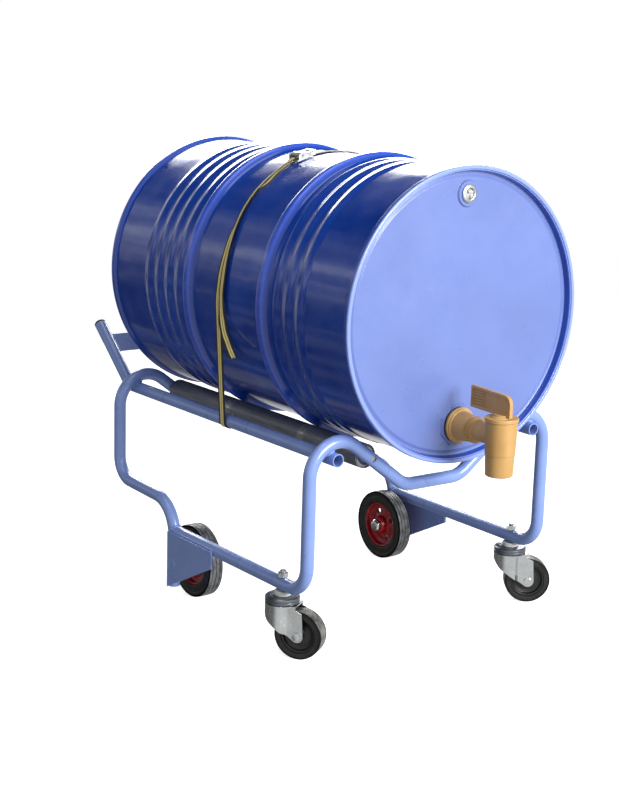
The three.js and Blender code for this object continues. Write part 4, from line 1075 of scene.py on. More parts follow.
def rear_hub(name, place):
    """A pressed centre: rolled rims, a dished web with four slots, and a raised boss."""
    half, web, bore = 20, 2.5, 13.3
    side = [(bore, half), (bore + 4.5, half), (bore + 8.5, web + 3.5), (HUB_RIM - 15, web),
            (HUB_RIM - 6, web + 1.5)]
    side += [(HUB_RIM - 3.6, 14.2), (HUB_RIM - 0.3, 14.6), (HUB_RIM - 0.3, 12.8)]
    side = rounded(side, 2.2, 4)
    profile = [(radius, -height) for radius, height in side] + side[::-1]
    hub = piece(name + "_pressed_hub", spun(profile, make().round_steps), "hub", place)
    slot = rounded([(-7, -5), (7, -5), (7, 5), (-7, 5)], 4, 5, True)
    slots = []
    for k in range(4):
        turn = Matrix.Rotation(math.pi / 3 + k * math.pi / 2, 4, "Z") @ Matrix.Translation((0, 33, 0))
        slots.append(piece("slot", extruded(slot, -30, 30), None, place @ turn))
    combine(hub, slots)
    return soften(hub, 0.5, 2, 50)


# ---------- casters ----------
CASTER_RADIUS = 50
TRAIL = 40
CROWN_TOP = 110.5
RACE_FOOT, RACE_TOP = 117, 125
FORK_RADIUS = 35
FORK_HALF = 22
FORK_SHEET = 3


def hexagonal(name, coat, place, flats, start, end, bore=0.0):
    """A hexagon nut or bolt head with its corners chamfered at both ends."""
    corner = flats / math.sqrt(3)
    prism = extruded([(corner * math.cos(math.pi * k / 3),
                       corner * math.sin(math.pi * k / 3)) for k in range(6)],
                     start, end)
    obj = piece(name, prism, coat, place)
    chamfer = corner - flats / 2
    crown = [(0, start), (flats / 2, start), (corner + 0.1, start + chamfer * 0.6)]
    crown += [(corner + 0.1, end - chamfer * 0.6), (flats / 2, end), (0, end)]
    combine(obj, [piece("crown", spun(crown, 64), None, place)], "INTERSECT")
    if bore:
        combine(obj, [piece("bore", rod(bore, start - 5, end + 5), None, place)])
    return obj


def threaded(radius, start, end, pitch=1.75, depth=0.7):
    """A rod's profile with the grooves of a thread up to its chamfered end."""
    profile = [(0, start), (radius, start)]
    height = start + 1
    while height + pitch < end - 1:
        profile += [(radius, height), (radius - depth, height + pitch * 0.5)]
        height += pitch
    return profile + [(radius, height), (radius, end - 0.8), (radius - 0.8, end), (0, end)]


def fork_shape(inset):
    """The fork's outline seen from above, taken in by the sheet for its hollow."""
    radius, sideways = FORK_RADIUS - inset, FORK_HALF - inset
    half = []
    for k in range(19):
        a = math.radians(105 * k / 18)
        half.append((radius * math.sin(a), radius * math.cos(a)))
    half += [(sideways + 2, -16), (sideways, -20), (sideways, -TRAIL - 20)]
    return half + [(-x, y) for x, y in reversed(half[1:])]


def make_fork(name, place):
    """A deep-drawn fork: a round cup under the ball race that runs down into two flat cheeks."""
    side = [(FORK_RADIUS + 1, CROWN_TOP + 1), (FORK_RADIUS + 1, CROWN_TOP - 12)]
    a, b, c = Vector(side[-1]), Vector((FORK_RADIUS - 6, CROWN_TOP - 32)), Vector((14, CASTER_RADIUS + 22))
    side += [tuple(a * (1 - t) ** 2 + b * 2 * t * (1 - t) + c * t * t) for t in (k / 10 for k in range(1,
                                                                                                       11))]
    for k in range(16):
        t = -math.pi / 4 - math.pi * 0.75 * k / 15
        side.append((-TRAIL + 13 * math.cos(t), CASTER_RADIUS + 13 * math.sin(t)))
    side += [(-TRAIL - 10, CROWN_TOP - 14), (-FORK_RADIUS - 1, CROWN_TOP - 8),
             (-FORK_RADIUS - 1, CROWN_TOP + 1)]
    fork = piece(name + "_swivel_fork", extruded(fork_shape(0), 0, CROWN_TOP), "zinc", place)
    hollow = piece("hollow", extruded(fork_shape(FORK_SHEET), -5, CROWN_TOP - FORK_SHEET), None, place)
    prism = piece("prism", extruded(side, -60, 60), None, place @ across_yz())
    combine(combine(fork, [hollow]), [prism], "INTERSECT")
    crown = [(16, CROWN_TOP - FORK_SHEET), (FORK_RADIUS - 0.4, CROWN_TOP - FORK_SHEET)]
    crown += [(FORK_RADIUS - 0.4, CROWN_TOP - 0.4), (FORK_RADIUS - 2, CROWN_TOP), (16, CROWN_TOP)]
    combine(fork, [piece("crown", spun(crown, 72), None, place)], "UNION")
    king = piece("king", rod(16, CROWN_TOP - 10, CROWN_TOP + 5, 48), None, place)
    axle = piece("axle", rod(5.3, -60, 60), None, place @ aimed(X, (0, -TRAIL, CASTER_RADIUS)))
    combine(fork, [king, axle])
    return soften(fork, 0.9, 3, 32)


def make_casters():
    for name, side in SIDES:
        stand = Matrix.Translation((side * LEG_X, CASTER_Y, 0))
        axis = Vector(JOINTS[name + "_caster_wheel_spin"]["axis"])
        swivel = stand @ Matrix.Rotation(math.atan2(axis.y, axis.x), 4, "Z")
        on_axle = swivel @ aimed(-X, (0, -TRAIL, CASTER_RADIUS))
        make_caster_top(name, stand)
        body = name + "_caster"
        on_body(make_fork(name, swivel), body, "zinc_plate", name + "_caster_fork")
        balls = []
        height = (RACE_FOOT + CROWN_TOP) / 2
        for k in range(24):
            a = math.tau * k / 24
            ball = [(2.5 * math.sin(math.pi * j / 8), -2.5 * math.cos(math.pi * j / 8)) for j in range(9)]
            ball[0], ball[-1] = (0, -2.5), (0, 2.5)
            balls.append(moved(spun(ball, 12),
                               Matrix.Translation((24 * math.cos(a), 24 * math.sin(a), height))))
        on_body(piece(name + "_swivel_balls", together(*balls), "steel", swivel),
                body, "bright_steel", name + "_caster_ball_ring")
        outer = FORK_HALF + 0.3
        head = hexagonal(name + "_wheel_bolt", "zinc", on_axle, 15, outer, outer + 5)
        shank = piece("shank", spun(threaded(5, -outer - 8.7, outer + 1, 1.5, 0.5), 32), None, on_axle)
        on_body(combine(head, [shank], "UNION"), body, "zinc_plate", name + "_caster_axle_bolt")
        on_body(hexagonal(name + "_wheel_lock_nut", "zinc", on_axle, 15, -outer - 6, -outer, 5.3),
                body, "zinc_plate", name + "_caster_axle_nut")
        make_caster_wheel(name, on_axle)


def make_caster_top(name, stand):
    """What stays with the frame: spacer, ball race, and the bolt and nut that hold the caster on the rail."""
    spacer = [(6.3, RACE_TOP + 0.3), (17, RACE_TOP + 0.3), (17, RAIL_Z - TUBE_RADIUS - 0.3)]
    spacer.append((6.3, RAIL_Z - TUBE_RADIUS - 0.3))
    on_body(piece(name + "_rail_spacer", spun(rounded(spacer, 0.8, 3, True), 64), "nylon", stand),
            "frame", "nylon", name + "_caster_spacer")
    race = [(6.3, RACE_FOOT), (28, RACE_FOOT), (31, RACE_FOOT - 5), (FORK_RADIUS, RACE_FOOT - 5)]
    race += [(FORK_RADIUS, RACE_FOOT - 0.6), (FORK_RADIUS - 1.2, RACE_FOOT + 0.2),
             (FORK_RADIUS, RACE_FOOT + 1)]
    race += [(FORK_RADIUS, RACE_TOP - 2.5), (FORK_RADIUS - 3, RACE_TOP), (24, RACE_TOP),
             (22.5, RACE_TOP - 1)]
    race += [(19.5, RACE_TOP - 1), (18, RACE_TOP), (6.3, RACE_TOP)]
    on_body(piece(name + "_ball_race_cup", spun(rounded(race, 0.6, 3, True), 80), "dark_zinc", stand),
            "frame", "zinc_plate", name + "_caster_race")
    foot = RACE_FOOT - 0.3
    bolt = hexagonal(name + "_king_bolt", "zinc", stand, 19, foot - 7.5, foot)
    shank = piece("shank", spun(threaded(6, foot - 1, RAIL_Z + TUBE_RADIUS + 15), 36), None, stand)
    on_body(combine(bolt, [shank], "UNION"), "frame", "zinc_plate", name + "_caster_bolt")
    seat = RAIL_Z + TUBE_RADIUS + 0.3
    on_body(hexagonal(name + "_king_nut", "zinc", stand, 19, seat, seat + 10, 6.3),
            "frame", "zinc_plate", name + "_caster_nut")


def make_caster_wheel(name, place):
    core = [(5.4, 18), (10, 18), (11.5, 15), (12.5, 8), (24, 6.5), (31, 8), (32.8, 13.6), (36.7, 14),
            (36.7, 12)]
    core = rounded(core, 1.2, 3)
    profile = [(radius, -height) for radius, height in core] + core[::-1]
    wheel = piece(name + "_wheel_centre", spun(profile, 72), "core", place)
    body = name + "_caster_wheel"
    on_body(wheel, body, "black_plastic", name + "_caster_wheel_core")
    tyre = piece(name + "_caster_rubber", spun(tyre_profile(37, CASTER_RADIUS, TYRE_HALF, ()), 88),
                 "caster_tyre", place)
    middle = place @ Vector((0, 0, 0))
    axis = (place.to_3x3() @ Z).normalized()

    def on_tread(point):
        arm = spot(point) - middle
        return (arm - axis * arm.dot(axis)).length > CASTER_RADIUS - 0.7

    second_coat(tyre, "caster_tread", on_tread)
    on_body(tyre, body, "tyre_rubber", name + "_caster_tyre")


# ---------- drum ----------
DRUM_RADIUS = 286
DRUM_INSIDE = 284.5
CHIME_RADIUS = 292.5
CHIME_WIDTH = 11
HEAD_RECESS = 15
SEAT_RISE = 3.5  # of the seats round the tap and the plug above the drum's end
SEAT_ROOT = 1.2  # how far a seat reaches into the end before the two are joined
SEAT_FACE = HEAD_RECESS - SEAT_RISE - GAP  # where the gasket and the plug's flange rest
HOOP_HALF = 20
BEAD_PITCH = 40
TAP_DROP = 217
BUNG_RISE = 237


def wall_radius(y):
    """The drum's outer radius at a distance behind the front rim: hoops with flat crests, and round beads."""
    hoop_rise, bead_rise = make().hoop_rise / MM, make().bead_rise / MM
    for hoop in HOOPS:
        far = abs(y - hoop)
        if far < HOOP_HALF:
            slope = min(1.0, (HOOP_HALF - far) / (HOOP_HALF - 5))
            return DRUM_RADIUS + hoop_rise * slope * slope * (3 - 2 * slope)
    first, second = HOOPS[0] - BEAD_PITCH - 4, HOOPS[1] + BEAD_PITCH + 4
    for start, way, count in ((first, -1, 3), (second, 1, 4)):
        place = (y - start) * way / BEAD_PITCH + 0.5
        if 0 <= place <= count:
            return DRUM_RADIUS + bead_rise * (0.5 - 0.5 * math.cos(math.tau * place)) ** 1.3
    return DRUM_RADIUS


def chime(end, way):
    """The rolled seam at one rim, from the drum's bore over the lip to the wall."""
    corners = [(DRUM_INSIDE, 6), (DRUM_INSIDE, 0, 2.6), (CHIME_RADIUS, 0, 3.4),
               (CHIME_RADIUS, CHIME_WIDTH, 2.4)]
    corners += [(DRUM_RADIUS, CHIME_WIDTH + 3.5, 2.0), (DRUM_RADIUS, CHIME_WIDTH + 12)]
    return [(radius, end + way * depth) for radius, depth in rounded(corners, 2, 5)]


def make_drum_shell():
    front = chime(0, 1)
    rear = chime(DRUM_LENGTH, -1)[::-1]
    walls = []
    y = CHIME_WIDTH + 16
    while y < DRUM_LENGTH - CHIME_WIDTH - 14:
        walls.append((wall_radius(y), y))
        y += 2.5
    verts, faces = spun(front + walls + rear, make().drum_steps, True)
    shaped = []
    for x, up, y in verts:
        out = math.hypot(x, up)
        inside = out < DRUM_RADIUS - 0.5 or y < 20 or y > DRUM_LENGTH - 20
        wave = 0 if inside else noise.noise(Vector((x, up, y)) / 95) * 0.45 + noise.noise(Vector((x, up,
                                                                                                  y)) / 40) * 0.12
        shaped.append((x * (out + wave) / out, up * (out + wave) / out, y))
    shell = piece("drum_wall", (shaped, faces), "drum", aimed(Y, (0, 0, AXIS_HEIGHT)), 60)
    on_body(shell, "drum", "drum_paint", "drum_shell")


def head_profile():
    """A pressed end: flat middle, a groove round it, and the upstand inside the rim."""
    edge = DRUM_INSIDE - 0.4
    face = [(0, 0), (edge - 16, 0), (edge - 10, 3), (edge - 5, 3, 3), (edge - 1.4, -HEAD_RECESS + 2.6)]
    back = [(edge, -HEAD_RECESS + 2.6), (edge, 7), (edge - 14, 4.5), (edge - 20, 1.5), (0, 1.5)]
    return rounded(face + back, 2.4, 6)


def seat(outline, top, slant=2.2, rise=SEAT_RISE):
    """A flat-topped raised seat with slanted flanks, drawn on the drum's end."""
    count = len(outline)
    verts = []
    foot = 1 + slant / top
    for scale, height in ((foot, -SEAT_ROOT), (foot, 0.0), (1.0, rise)):
        verts += [(x * scale, y * scale, height) for x, y in outline]
    faces = [list(range(count))[::-1], list(range(2 * count, 3 * count))]
    for row in (0, 1):
        for k in range(count):
            n = (k + 1) % count
            faces.append([row * count + k, row * count + n, (row + 1) * count + n, (row + 1) * count + k])
    return verts, faces


def make_drum_ends():
    steps = make().drum_steps
    front = piece("drum_front_end", spun(head_profile(), steps), "head",
                  aimed(Y, (0, HEAD_RECESS, AXIS_HEIGHT)), 40)
    on_front = Matrix.Translation((0, HEAD_RECESS, AXIS_HEIGHT)) @ across_xz()
    octagon = [(43 * math.cos(math.pi * (k + 0.5) / 4),
                43 * math.sin(math.pi * (k + 0.5) / 4)) for k in range(8)]
    low_seat = on_front @ Matrix.Translation((0, -TAP_DROP, 0))
    high_seat = on_front @ Matrix.Translation((0, BUNG_RISE, 0))
    combine(front, [
        piece("seat", seat(rounded(octagon, 5, 3, True), 43), None, low_seat),
        piece("seat", seat(circle(24.5, 64), 24.5), None, high_seat),
    ], "UNION")
    combine(front, [
        piece("hole", rod(28.3, -10, 10, 64), None, low_seat),
        piece("hole", rod(13.3, -10, 10, 48), None, high_seat),
    ])
    soften(front, 0.9, 3, 30)
    rear = piece("drum_rear_end", spun(head_profile(), steps), "head",
                 aimed(-Y, (0, DRUM_LENGTH - HEAD_RECESS, AXIS_HEIGHT)), 40)
    for obj, node in ((front, "drum_front_head"), (rear, "drum_rear_head")):
        second_coat(obj, "drum", upstand)
        on_body(obj, "drum", "drum_paint", node)


def upstand(point):
    """Whether a place on a drum end is on the upstand inside the rim."""
    place = spot(point)
    depth = min(place.y, DRUM_LENGTH - place.y)
    return math.hypot(place.x, place.z - AXIS_HEIGHT) > DRUM_INSIDE - 7.5 and depth < HEAD_RECESS + 1.5


def make_bung_plug():
    """A zinc plug: a flange with a rolled rim and a pocket with two crossed bars for the wrench."""
    face = SEAT_FACE
    place = aimed(-Y, (0, 0, AXIS_HEIGHT + BUNG_RISE))
    profile = [(0, 0.6), (9.6, 0.6), (10.6, 3.6), (12.2, 4.4), (15.5, 3.9), (18, 2.6), (18, 0), (13, 0)]
    profile += [(13, -13), (12, -14), (0, -14)]
    plug = piece("vent_bung_plug", spun(rounded([(r, h - face) for r, h in profile], 0.9, 3), 72),
                 "buckle", place)
    bar = rounded([(-10, -2.2), (10, -2.2), (10, 2.2), (-10, 2.2)], 1, 3, True)
    bars = [
        piece("bar", extruded(bar, -face - 1, -face + 3), None, place @ Matrix.Rotation(turn, 4, "Z"))
        for turn in (0.5, 0.5 + math.pi / 2)
    ]
    combine(plug, bars, "UNION")
    soften(plug, 0.35, 2, 40)
    on_body(plug, "drum", "bright_steel", "small_bung_plug")


# ---------- tap ----------
TAP_REACH = 113
TAP_Z = AXIS_HEIGHT - TAP_DROP
BARREL_TOP = TAP_Z + 40
BARREL_FOOT = BARREL_TOP - 115
PLUG_FOOT = BARREL_TOP - 69


def make_tap():
    face = SEAT_FACE
    back = 4 - face
    on_spout = aimed(-Y, (0, 0, TAP_Z))
    on_barrel = Matrix.Translation((0, -TAP_REACH, 0))
    gasket = [(28.3, -face), (36, -face), (36, back - 0.3), (28.3, back - 0.3)]
    on_body(piece("tap_seal_ring", spun(rounded(gasket, 0.8, 3, True), 80), "gasket", on_spout),
            "drum", "black_rubber", "tap_gasket")
    spout = [(0, -face - 20), (28, -face - 20), (28, back), (36, back), (36, back + 5), (33.5, back + 5.5)]
    spout += [(33.5, back + 8.5), (30, back + 9.5), (27.5, 22), (25, 33), (22.5, 35), (22.5, 38.5),
              (26.5, 40)]
    spout += [(26.5, 45.5), (23, 47), (20, 51), (19.5, TAP_REACH), (0, TAP_REACH)]
    tap = piece("tap_housing", spun(rounded(spout, 1.0, 3), 80), "tap", on_spout)
    top = 32
    barrel = [(0, BARREL_FOOT), (25.4, BARREL_FOOT), (27, BARREL_FOOT + 1.6), (28.6, BARREL_FOOT + 42)]
    barrel += [(29.4, BARREL_FOOT + 43), (31.4, BARREL_TOP - 8), (top + 1, BARREL_TOP - 7),
               (top + 1, BARREL_TOP)]
    barrel.append((0, BARREL_TOP))
    combine(tap, [piece("barrel", spun(rounded(barrel, 1.2, 3), 80), None, on_barrel)], "UNION")
    combine(tap, [
        piece("bore", rod(21.35, PLUG_FOOT - 1.3, BARREL_TOP + 5, 72), None, on_barrel),
        piece("outlet", rod(18, BARREL_FOOT - 5, PLUG_FOOT + 4, 64), None, on_barrel),
        piece("inlet", rod(14, -60, TAP_REACH - 5, 48), None, on_spout),
    ])
    soften(tap, 0.8, 3, 38)
    on_body(tap, "drum", "tap_plastic", "tap_body")
    make_tap_key(on_barrel)


def make_tap_key(on_barrel):
    """The turning plug with its flag: a recessed blade with a thick border and grip ribs at the drum's end."""
    stem = [(0, PLUG_FOOT), (21, PLUG_FOOT), (21, BARREL_TOP), (19.5, BARREL_TOP + 2),
            (16.5, BARREL_TOP + 3)]
    stem += [(16, BARREL_TOP + 6), (0, BARREL_TOP + 6)]
    near = TAP_REACH - 27
    far = near - 111
    foot = BARREL_TOP + 2
    flag = [(near, foot + 3, 2), (near, foot + 46, 3), (far, foot + 42, 24), (far, foot, 1)]
    border = [(near - 5, foot + 9, 2), (near - 5, foot + 40.5, 2), (far + 5, foot + 37, 19),
              (far + 5, foot + 9, 1)]
    lay = on_barrel @ across_yz()
    key = piece("tap_flag_key", extruded(rounded(flag, 1, 10, True), -4, 4), "tap", lay)
    combine(key, [
        piece("recess", extruded(rounded(border, 1, 10, True), start, end), None, lay)
        for start, end in ((-6, -1.8), (1.8, 6))
    ])
    ribs = []
    for k in range(5):
        height = foot + 12.5 + k * 5.6
        bar = [(near - 38, height), (near - 8, height), (near - 8, height + 2.8), (near - 38, height + 2.8)]
        ribs.append(piece("rib", extruded(rounded(bar, 0.9, 2, True), -3.7, 3.7), None, lay))
    combine(key, ribs, "UNION")
    combine(key, [piece("stem", spun(rounded(stem, 0.8, 3), 72), None, on_barrel)], "UNION")
    port = aimed(X, (0, -TAP_REACH, TAP_Z))
    combine(key, [
        piece("port", rod(13, -40, 40, 48), None, port),
        piece("drop", rod(12, PLUG_FOOT - 5, TAP_Z, 48), None, on_barrel),
    ])
    soften(key, 0.7, 3, 40)
    on_body(key, "tap_key", "tap_plastic", "tap_plug")


# ---------- strap ----------
STRAP_Y = 443
STRAP_WIDTH = 25
BAND_INNER = DRUM_RADIUS + 1.2
WRAP_RADIUS = TUBE_RADIUS + 0.6
BUCKLE_ANGLE = math.radians(-17)
BUCKLE_HALF = 25
BUCKLE_WALL = 18
BUCKLE_SHEET = 1.8


def ribbon(name, points, normals, tilts=None, widths=None):
    """A webbing band along points, square to the normals; its UV map is 0 to 1 across, metres along."""
    thickness = make().strap_thickness / MM
    columns = 8
    edge = [(-0.5, 0.0)] + [(k / columns - 0.5, 0.5) for k in range(1, columns)] + [(0.5, 0.0)]
    section = edge + [(x, -y) for x, y in edge[-2:0:-1]]
    across = [x + 0.5 for x, _ in section]
    verts, lengths = [], [0.0]
    count, width = len(points), len(section)
    for i, point in enumerate(points):
        along = (points[min(i + 1, count - 1)] - points[max(i - 1, 0)]).normalized()
        up = normals[i] - along * normals[i].dot(along)
        up = Matrix.Rotation(tilts[i] if tilts else 0.0, 3, along) @ up.normalized()
        side = along.cross(up)
        size = STRAP_WIDTH * (widths[i] if widths else 1.0)
        verts += [point + side * x * size + up * y * thickness for x, y in section]
        if i:
            lengths.append(lengths[-1] + (point - points[i - 1]).length * MM)
    faces = []
    for i in range(count - 1):
        for k in range(width):
            n = (k + 1) % width
            faces.append([i * width + k, i * width + n, (i + 1) * width + n, (i + 1) * width + k])
    faces += [list(range(width))[::-1], list(range((count - 1) * width, count * width))]
    obj = piece(name, (verts, faces), "webbing", sharp=50)
    layer = obj.data.uv_layers.new(name="UVMap")
    for loop in obj.data.loops:
        row, column = divmod(loop.vertex_index, width)
        layer.data[loop.index].uv = (across[column], lengths[row])
    return obj


def on_drum(angle, lift=0.0, shift=0.0):
    """A place over the drum's wall, an angle from the top, and the direction away from the drum there."""
    out = Vector((math.sin(angle), 0, math.cos(angle)))
    return Vector((0, STRAP_Y - shift, AXIS_HEIGHT)) + out * (BAND_INNER + lift), out


def smooth(value):
    value = min(1.0, max(0.0, value))
    return value * value * (3 - 2 * value)


def strand(side, end_angle, shape_at):
    """One side's band: from its end round the side tube, up the drum's flank and over to the buckle."""
    thickness = make().strap_thickness / MM
    middle, wrap = BAND_INNER + thickness / 2, WRAP_RADIUS + thickness / 2
    drop = AXIS_HEIGHT - SIDE_TUBE_Z
    lean = math.atan2(SIDE_TUBE_X, drop)
    tangent = math.asin((middle - wrap) / math.hypot(SIDE_TUBE_X, drop))
    flank = math.pi / 2 - lean + tangent
    tube = Vector((side * SIDE_TUBE_X, STRAP_Y, SIDE_TUBE_Z))

    def out_at(angle):
        return Vector((side * math.sin(angle), 0, math.cos(angle)))
    leave = tube + out_at(flank) * wrap
    points, normals = [], []
    turn_in = flank + math.pi * 1.25
    for k in range(36):
        a = turn_in + (flank - turn_in) * k / 35
        points.append(tube + out_at(a) * wrap)
        normals.append(out_at(a))
    top = Vector((0, STRAP_Y, AXIS_HEIGHT)) + out_at(flank) * middle
    for k in range(1, 24):
        points.append(leave.lerp(top, k / 24))
        normals.append(out_at(flank))
    steps = 110
    tilts, widths = [0.0] * len(points), [1.0] * len(points)
    for k in range(steps + 1):
        a = flank + (end_angle - flank) * k / steps
        bend, lift, size, shift = shape_at(math.degrees(a))
        points.append(Vector((0, STRAP_Y - shift, AXIS_HEIGHT)) + out_at(a) * (middle + lift))
        normals.append(out_at(a))
        tilts.append(bend)
        widths.append(size)
    return points, normals, tilts, widths


def gathered(degrees):
    """How far the webbing is drawn narrow, an angle from the top, where it was pulled tight askew."""
    return smooth((degrees - 20) / 6) * smooth((84 - degrees) / 26)


KINKS = ((22, 0), (30, 6), (38, 12), (44, 0), (52, 4), (60, 8), (73, 8), (84, 5), (95, 0))


def kinks(degrees):
    """The sideways bends of the gathered webbing, in millimetres towards the tap, an angle from the top."""
    for (start, one), (end, two) in zip(KINKS, KINKS[1:]):
        if start <= degrees < end:
            return one + (two - one) * smooth((degrees - start) / (end - start))
    return 0.0


def straight_band(_):
    return 0.0, 0.0, 1.0, 0.0


def cupped_band(degrees):
    """Roll, lift, width and shift towards the tap of the left band."""
    pull = gathered(degrees)
    return math.radians(8) * pull, 1.0 * pull, 1.0 - 0.56 * pull, kinks(degrees)


def make_strap():
    gap = (BUCKLE_HALF + 0.3) / BAND_INNER
    for name, side, end, shape_at in (("left", -1, -BUCKLE_ANGLE + gap, cupped_band),
                                      ("right", 1, BUCKLE_ANGLE + gap, straight_band)):
        band = ribbon(name + "_strap_band", *strand(side, end, shape_at))
        on_body(band, "frame", "webbing", "strap_" + name)


TAIL_LIFT = 4.6  # of the free end's middle above the band's inner face
TAIL_ON_DRUM = [
    (-21, 2, 3), (-29, 3, 0.5), (-37, 4, 0), (-45, 5, 0), (-53, 8, 0), (-61, 13, 0), (-69, 18, 0),
    (-77, 20, 0), (-85, 20, 0),
]
TAIL_HANGING = [
    (-291.8, 424, 5), (-291.8, 423, -25), (-292.3, 418, -50), (-292.8, 408, -75), (-291.8, 394, -98),
    (-290.8, 377, -120),
]


def catmull_rom(points, per_span):
    """A smooth line through points, with a centripetal spacing."""
    ends = [points[0] * 2 - points[1]] + list(points) + [points[-1] * 2 - points[-2]]
    result = []
    for before, start, end, after in zip(ends, ends[1:], ends[2:], ends[3:]):
        times = [0.0]
        for one, two in ((before, start), (start, end), (end, after)):
            times.append(times[-1] + math.sqrt((two - one).length))
        for k in range(per_span):
            t = times[1] + (times[2] - times[1]) * k / per_span

            def between(one, two, first, last, t=t):
                return one * ((last - t) / (last - first)) + two * ((t - first) / (last - first))
            a = between(before, start, times[0], times[1])
            b = between(start, end, times[1], times[2])
            c = between(end, after, times[2], times[3])
            d, e = between(a, b, times[0], times[2]), between(b, c, times[1], times[3])
            result.append(between(d, e, times[1], times[2]))
    return result + [points[-1]]


def make_strap_tail():
    """The free end: back over the left strand, beside it down the drum's flank, then hanging with a curl."""
    route = [on_drum(math.radians(a), TAIL_LIFT + lift, shift)[0] for a, shift, lift in TAIL_ON_DRUM]
    route += [Vector((x, y, AXIS_HEIGHT + z)) for x, y, z in TAIL_HANGING]
    points = catmull_rom(route, 7)
    normals, tilts, widths = [], [], []
    for i, point in enumerate(points):
        out = Vector((point.x, 0, point.z - AXIS_HEIGHT)).normalized()
        hanging = smooth((AXIS_HEIGHT + 10 - point.z) / 130)
        normals.append(out.lerp(Vector((-1, 0, 0)), hanging))
        angle = math.degrees(math.atan2(-point.x, point.z - AXIS_HEIGHT))
        curl = math.radians(14) * math.sin(i * 0.55) * hanging
        tilts.append(math.radians(8) * gathered(angle) - math.radians(64) * hanging + curl)
        widths.append(1.0 - 0.55 * gathered(angle) - 0.3 * smooth((angle - 60) / 15))
    tail = ribbon("strap_free_end", points, normals, tilts, widths)
    on_body(tail, "frame", "webbing", "strap_tail")


def make_buckle():
    """A cam buckle: a pressed base with slots and two cheeks, its rivet, and its cam lever."""
    place = Matrix.Translation(Vector((0, STRAP_Y, AXIS_HEIGHT)) + Vector((
        math.sin(BUCKLE_ANGLE), 0, math.cos(BUCKLE_ANGLE))) * BAND_INNER) @ Matrix.Rotation(BUCKLE_ANGLE,
                                                                                            4, "Y")
    lift, half, wall, sheet = 1.2, BUCKLE_HALF, BUCKLE_WALL, BUCKLE_SHEET
    pin = Vector((-half + 17, 0, lift + 9))
    base = rounded([(-half, -wall), (half, -wall), (half, wall), (-half, wall)], 3, 4, True)
    body = piece("buckle_base", extruded(base, lift, lift + sheet), "buckle", place)
    cheek = [(-half + 4, lift, 0), (half - 10, lift, 0), (half - 14, lift + 9), (-half + 22, lift + 14, 5)]
    cheek = rounded(cheek + [(-half + 7, lift + 12, 4)], 3, 4, True)
    cheeks = []
    for side in (-1, 1):
        start, end = sorted((side * wall, side * (wall - sheet)))
        cheeks.append(piece("cheek", extruded(cheek, start, end), None, place @ across_xz()))
    combine(body, cheeks, "UNION")
    slots = []
    for x in (half - 9, half - 17):
        slot = rounded([(x, -13), (x + 4.6, -13), (x + 4.6, 13), (x, 13)], 2, 4, True)
        slots.append(piece("slot", extruded(slot, -5, 12), None, place))
    slots.append(piece("pin_hole", rod(2.8, -40, 40, 32), None, place @ aimed(Y, pin)))
    soften(combine(body, slots), 0.4, 2, 35)
    on_body(body, "frame", "zinc_plate", "buckle_frame")
    outline = [(pin.x + 5.2 * math.cos(a), pin.z + 5.2 * math.sin(a)) for a in
               (math.radians(90 + 171 * k / 14) for k in range(15))]
    for k in range(4):
        outline.append((pin.x - 0.5 + k * 1.4, pin.z - (4.6 if k % 2 else 5.5)))
    outline += [(half + 2, pin.z - 2.6), (half + 4, pin.z - 1.4), (half + 4, pin.z + 0.5),
                (half, pin.z + 0.9)]
    outline += [(pin.x + 9, pin.z + 1.4), (pin.x + 5, pin.z + 3.2)]
    reach = wall - sheet - 0.6
    lever = piece("buckle_cam_lever", extruded(outline, -reach, reach), "buckle", place @ across_xz())
    grip = rounded([(half - 14, -9), (half - 3, -9), (half - 3, 9), (half - 14, 9)], 3, 4, True)
    tools = [
        piece("grip", extruded(grip, pin.z - 8, pin.z + 8), None, place),
        piece("pin_hole", rod(2.85, -40, 40, 32), None, place @ aimed(Y, pin)),
    ]
    soften(combine(lever, tools), 0.4, 2, 35)
    on_body(lever, "buckle_cam", "zinc_plate", "buckle_lever")
    rivet = [(0, -wall - 1), (2.0, -wall - 1), (2.5, -wall - 0.5), (2.5, wall + 0.5), (2.0, wall + 1),
             (0, wall + 1)]
    on_body(piece("buckle_rivet", spun(rivet, 40), "steel", place @ aimed(Y, pin)),
            "frame", "bright_steel", "buckle_pin")


# ---------- operators ----------
class DOLLY_OT_stage(bpy.types.Operator):
    """Camera, floor and lights"""
    bl_idname = "dolly.stage"
    bl_label = "Stage"

    def execute(self, context):
        make_camera()
        make_floor()
        make_lights()
        return {"FINISHED"}


class DOLLY_OT_strap(bpy.types.Operator):
    """The webbing strap: its free end, its two bands and its cam buckle"""
    bl_idname = "dolly.strap"
    bl_label = "Strap and buckle"

    def execute(self, context):
        make_strap_tail()
        make_strap()
        make_buckle()
        return {"FINISHED"}


class DOLLY_OT_frame(bpy.types.Operator):
    """The welded frame: two hoops, side rails with their plugs, toe bar, wheel plates and weld beads"""
    bl_idname = "dolly.frame"
    bl_label = "Welded frame"

    def execute(self, context):
        make_front_tube()
        make_rear_tube()
        make_side_tubes()
        make_toe_plate()
        make_wheel_plates()
        make_welds()
        return {"FINISHED"}


class DOLLY_OT_rollers(bpy.types.Operator):
    """The two long rollers with their shafts and ball races"""
    bl_idname = "dolly.rollers"
    bl_label = "Rollers"

    def execute(self, context):
        make_rollers()
        return {"FINISHED"}


class DOLLY_OT_wheels(bpy.types.Operator):
    """The two fixed rear wheels with their axles and caps"""
    bl_idname = "dolly.wheels"
    bl_label = "Rear wheels"

    def execute(self, context):
        make_rear_wheels()
        return {"FINISHED"}


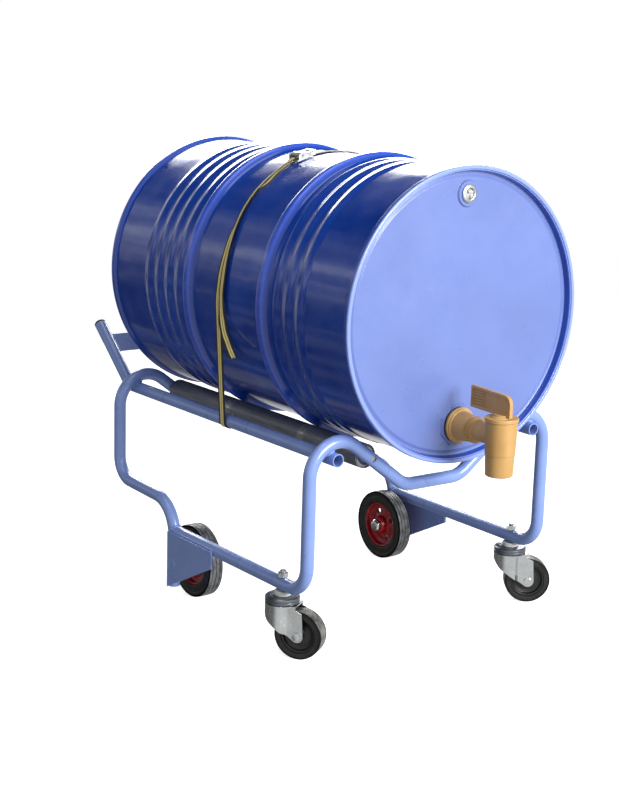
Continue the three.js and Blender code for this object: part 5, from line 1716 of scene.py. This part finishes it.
class DOLLY_OT_casters(bpy.types.Operator):
    """The two swivel casters with their bolts"""
    bl_idname = "dolly.casters"
    bl_label = "Casters"

    def execute(self, context):
        make_casters()
        return {"FINISHED"}


class DOLLY_OT_drum(bpy.types.Operator):
    """The steel drum: its wall, its two pressed ends and the vent bung's plug"""
    bl_idname = "dolly.drum"
    bl_label = "Drum"

    def execute(self, context):
        make_drum_shell()
        make_drum_ends()
        make_bung_plug()
        return {"FINISHED"}


class DOLLY_OT_tap(bpy.types.Operator):
    """The moulded tap with its turning key"""
    bl_idname = "dolly.tap"
    bl_label = "Tap"

    def execute(self, context):
        make_tap()
        return {"FINISHED"}


OPERATORS = (DOLLY_OT_stage, DOLLY_OT_strap, DOLLY_OT_frame, DOLLY_OT_rollers, DOLLY_OT_wheels,
             DOLLY_OT_casters,
             DOLLY_OT_drum, DOLLY_OT_tap)


class DOLLY_PT_panel(bpy.types.Panel):
    """The dolly's pieces, finishes and sizes"""
    bl_idname = "DOLLY_PT_panel"
    bl_label = "Drum Dolly"
    bl_space_type = "VIEW_3D"
    bl_region_type = "UI"
    bl_category = "Drum Dolly"

    def draw(self, context):
        for settings in (context.scene.dolly_paint, context.scene.dolly_make):
            box = self.layout.box()
            for name in settings.bl_rna.properties.keys():
                if name not in ("rna_type", "name"):
                    box.prop(settings, name)
        for operator in OPERATORS:
            self.layout.operator(operator.bl_idname)


CLASSES = (DollyPaint, DollyMake, *OPERATORS, DOLLY_PT_panel)


def register():
    for cls in CLASSES:
        bpy.utils.register_class(cls)
    bpy.types.Scene.dolly_paint = PointerProperty(type=DollyPaint)
    bpy.types.Scene.dolly_make = PointerProperty(type=DollyMake)


def unregister():
    del bpy.types.Scene.dolly_make
    del bpy.types.Scene.dolly_paint
    for cls in reversed(CLASSES):
        bpy.utils.unregister_class(cls)


def main():
    register()
    bpy.ops.dolly.stage()
    bpy.ops.dolly.strap()
    bpy.ops.dolly.frame()
    bpy.ops.dolly.rollers()
    bpy.ops.dolly.wheels()
    bpy.ops.dolly.casters()
    bpy.ops.dolly.drum()
    bpy.ops.dolly.tap()


if __name__ == "__main__":
    main()
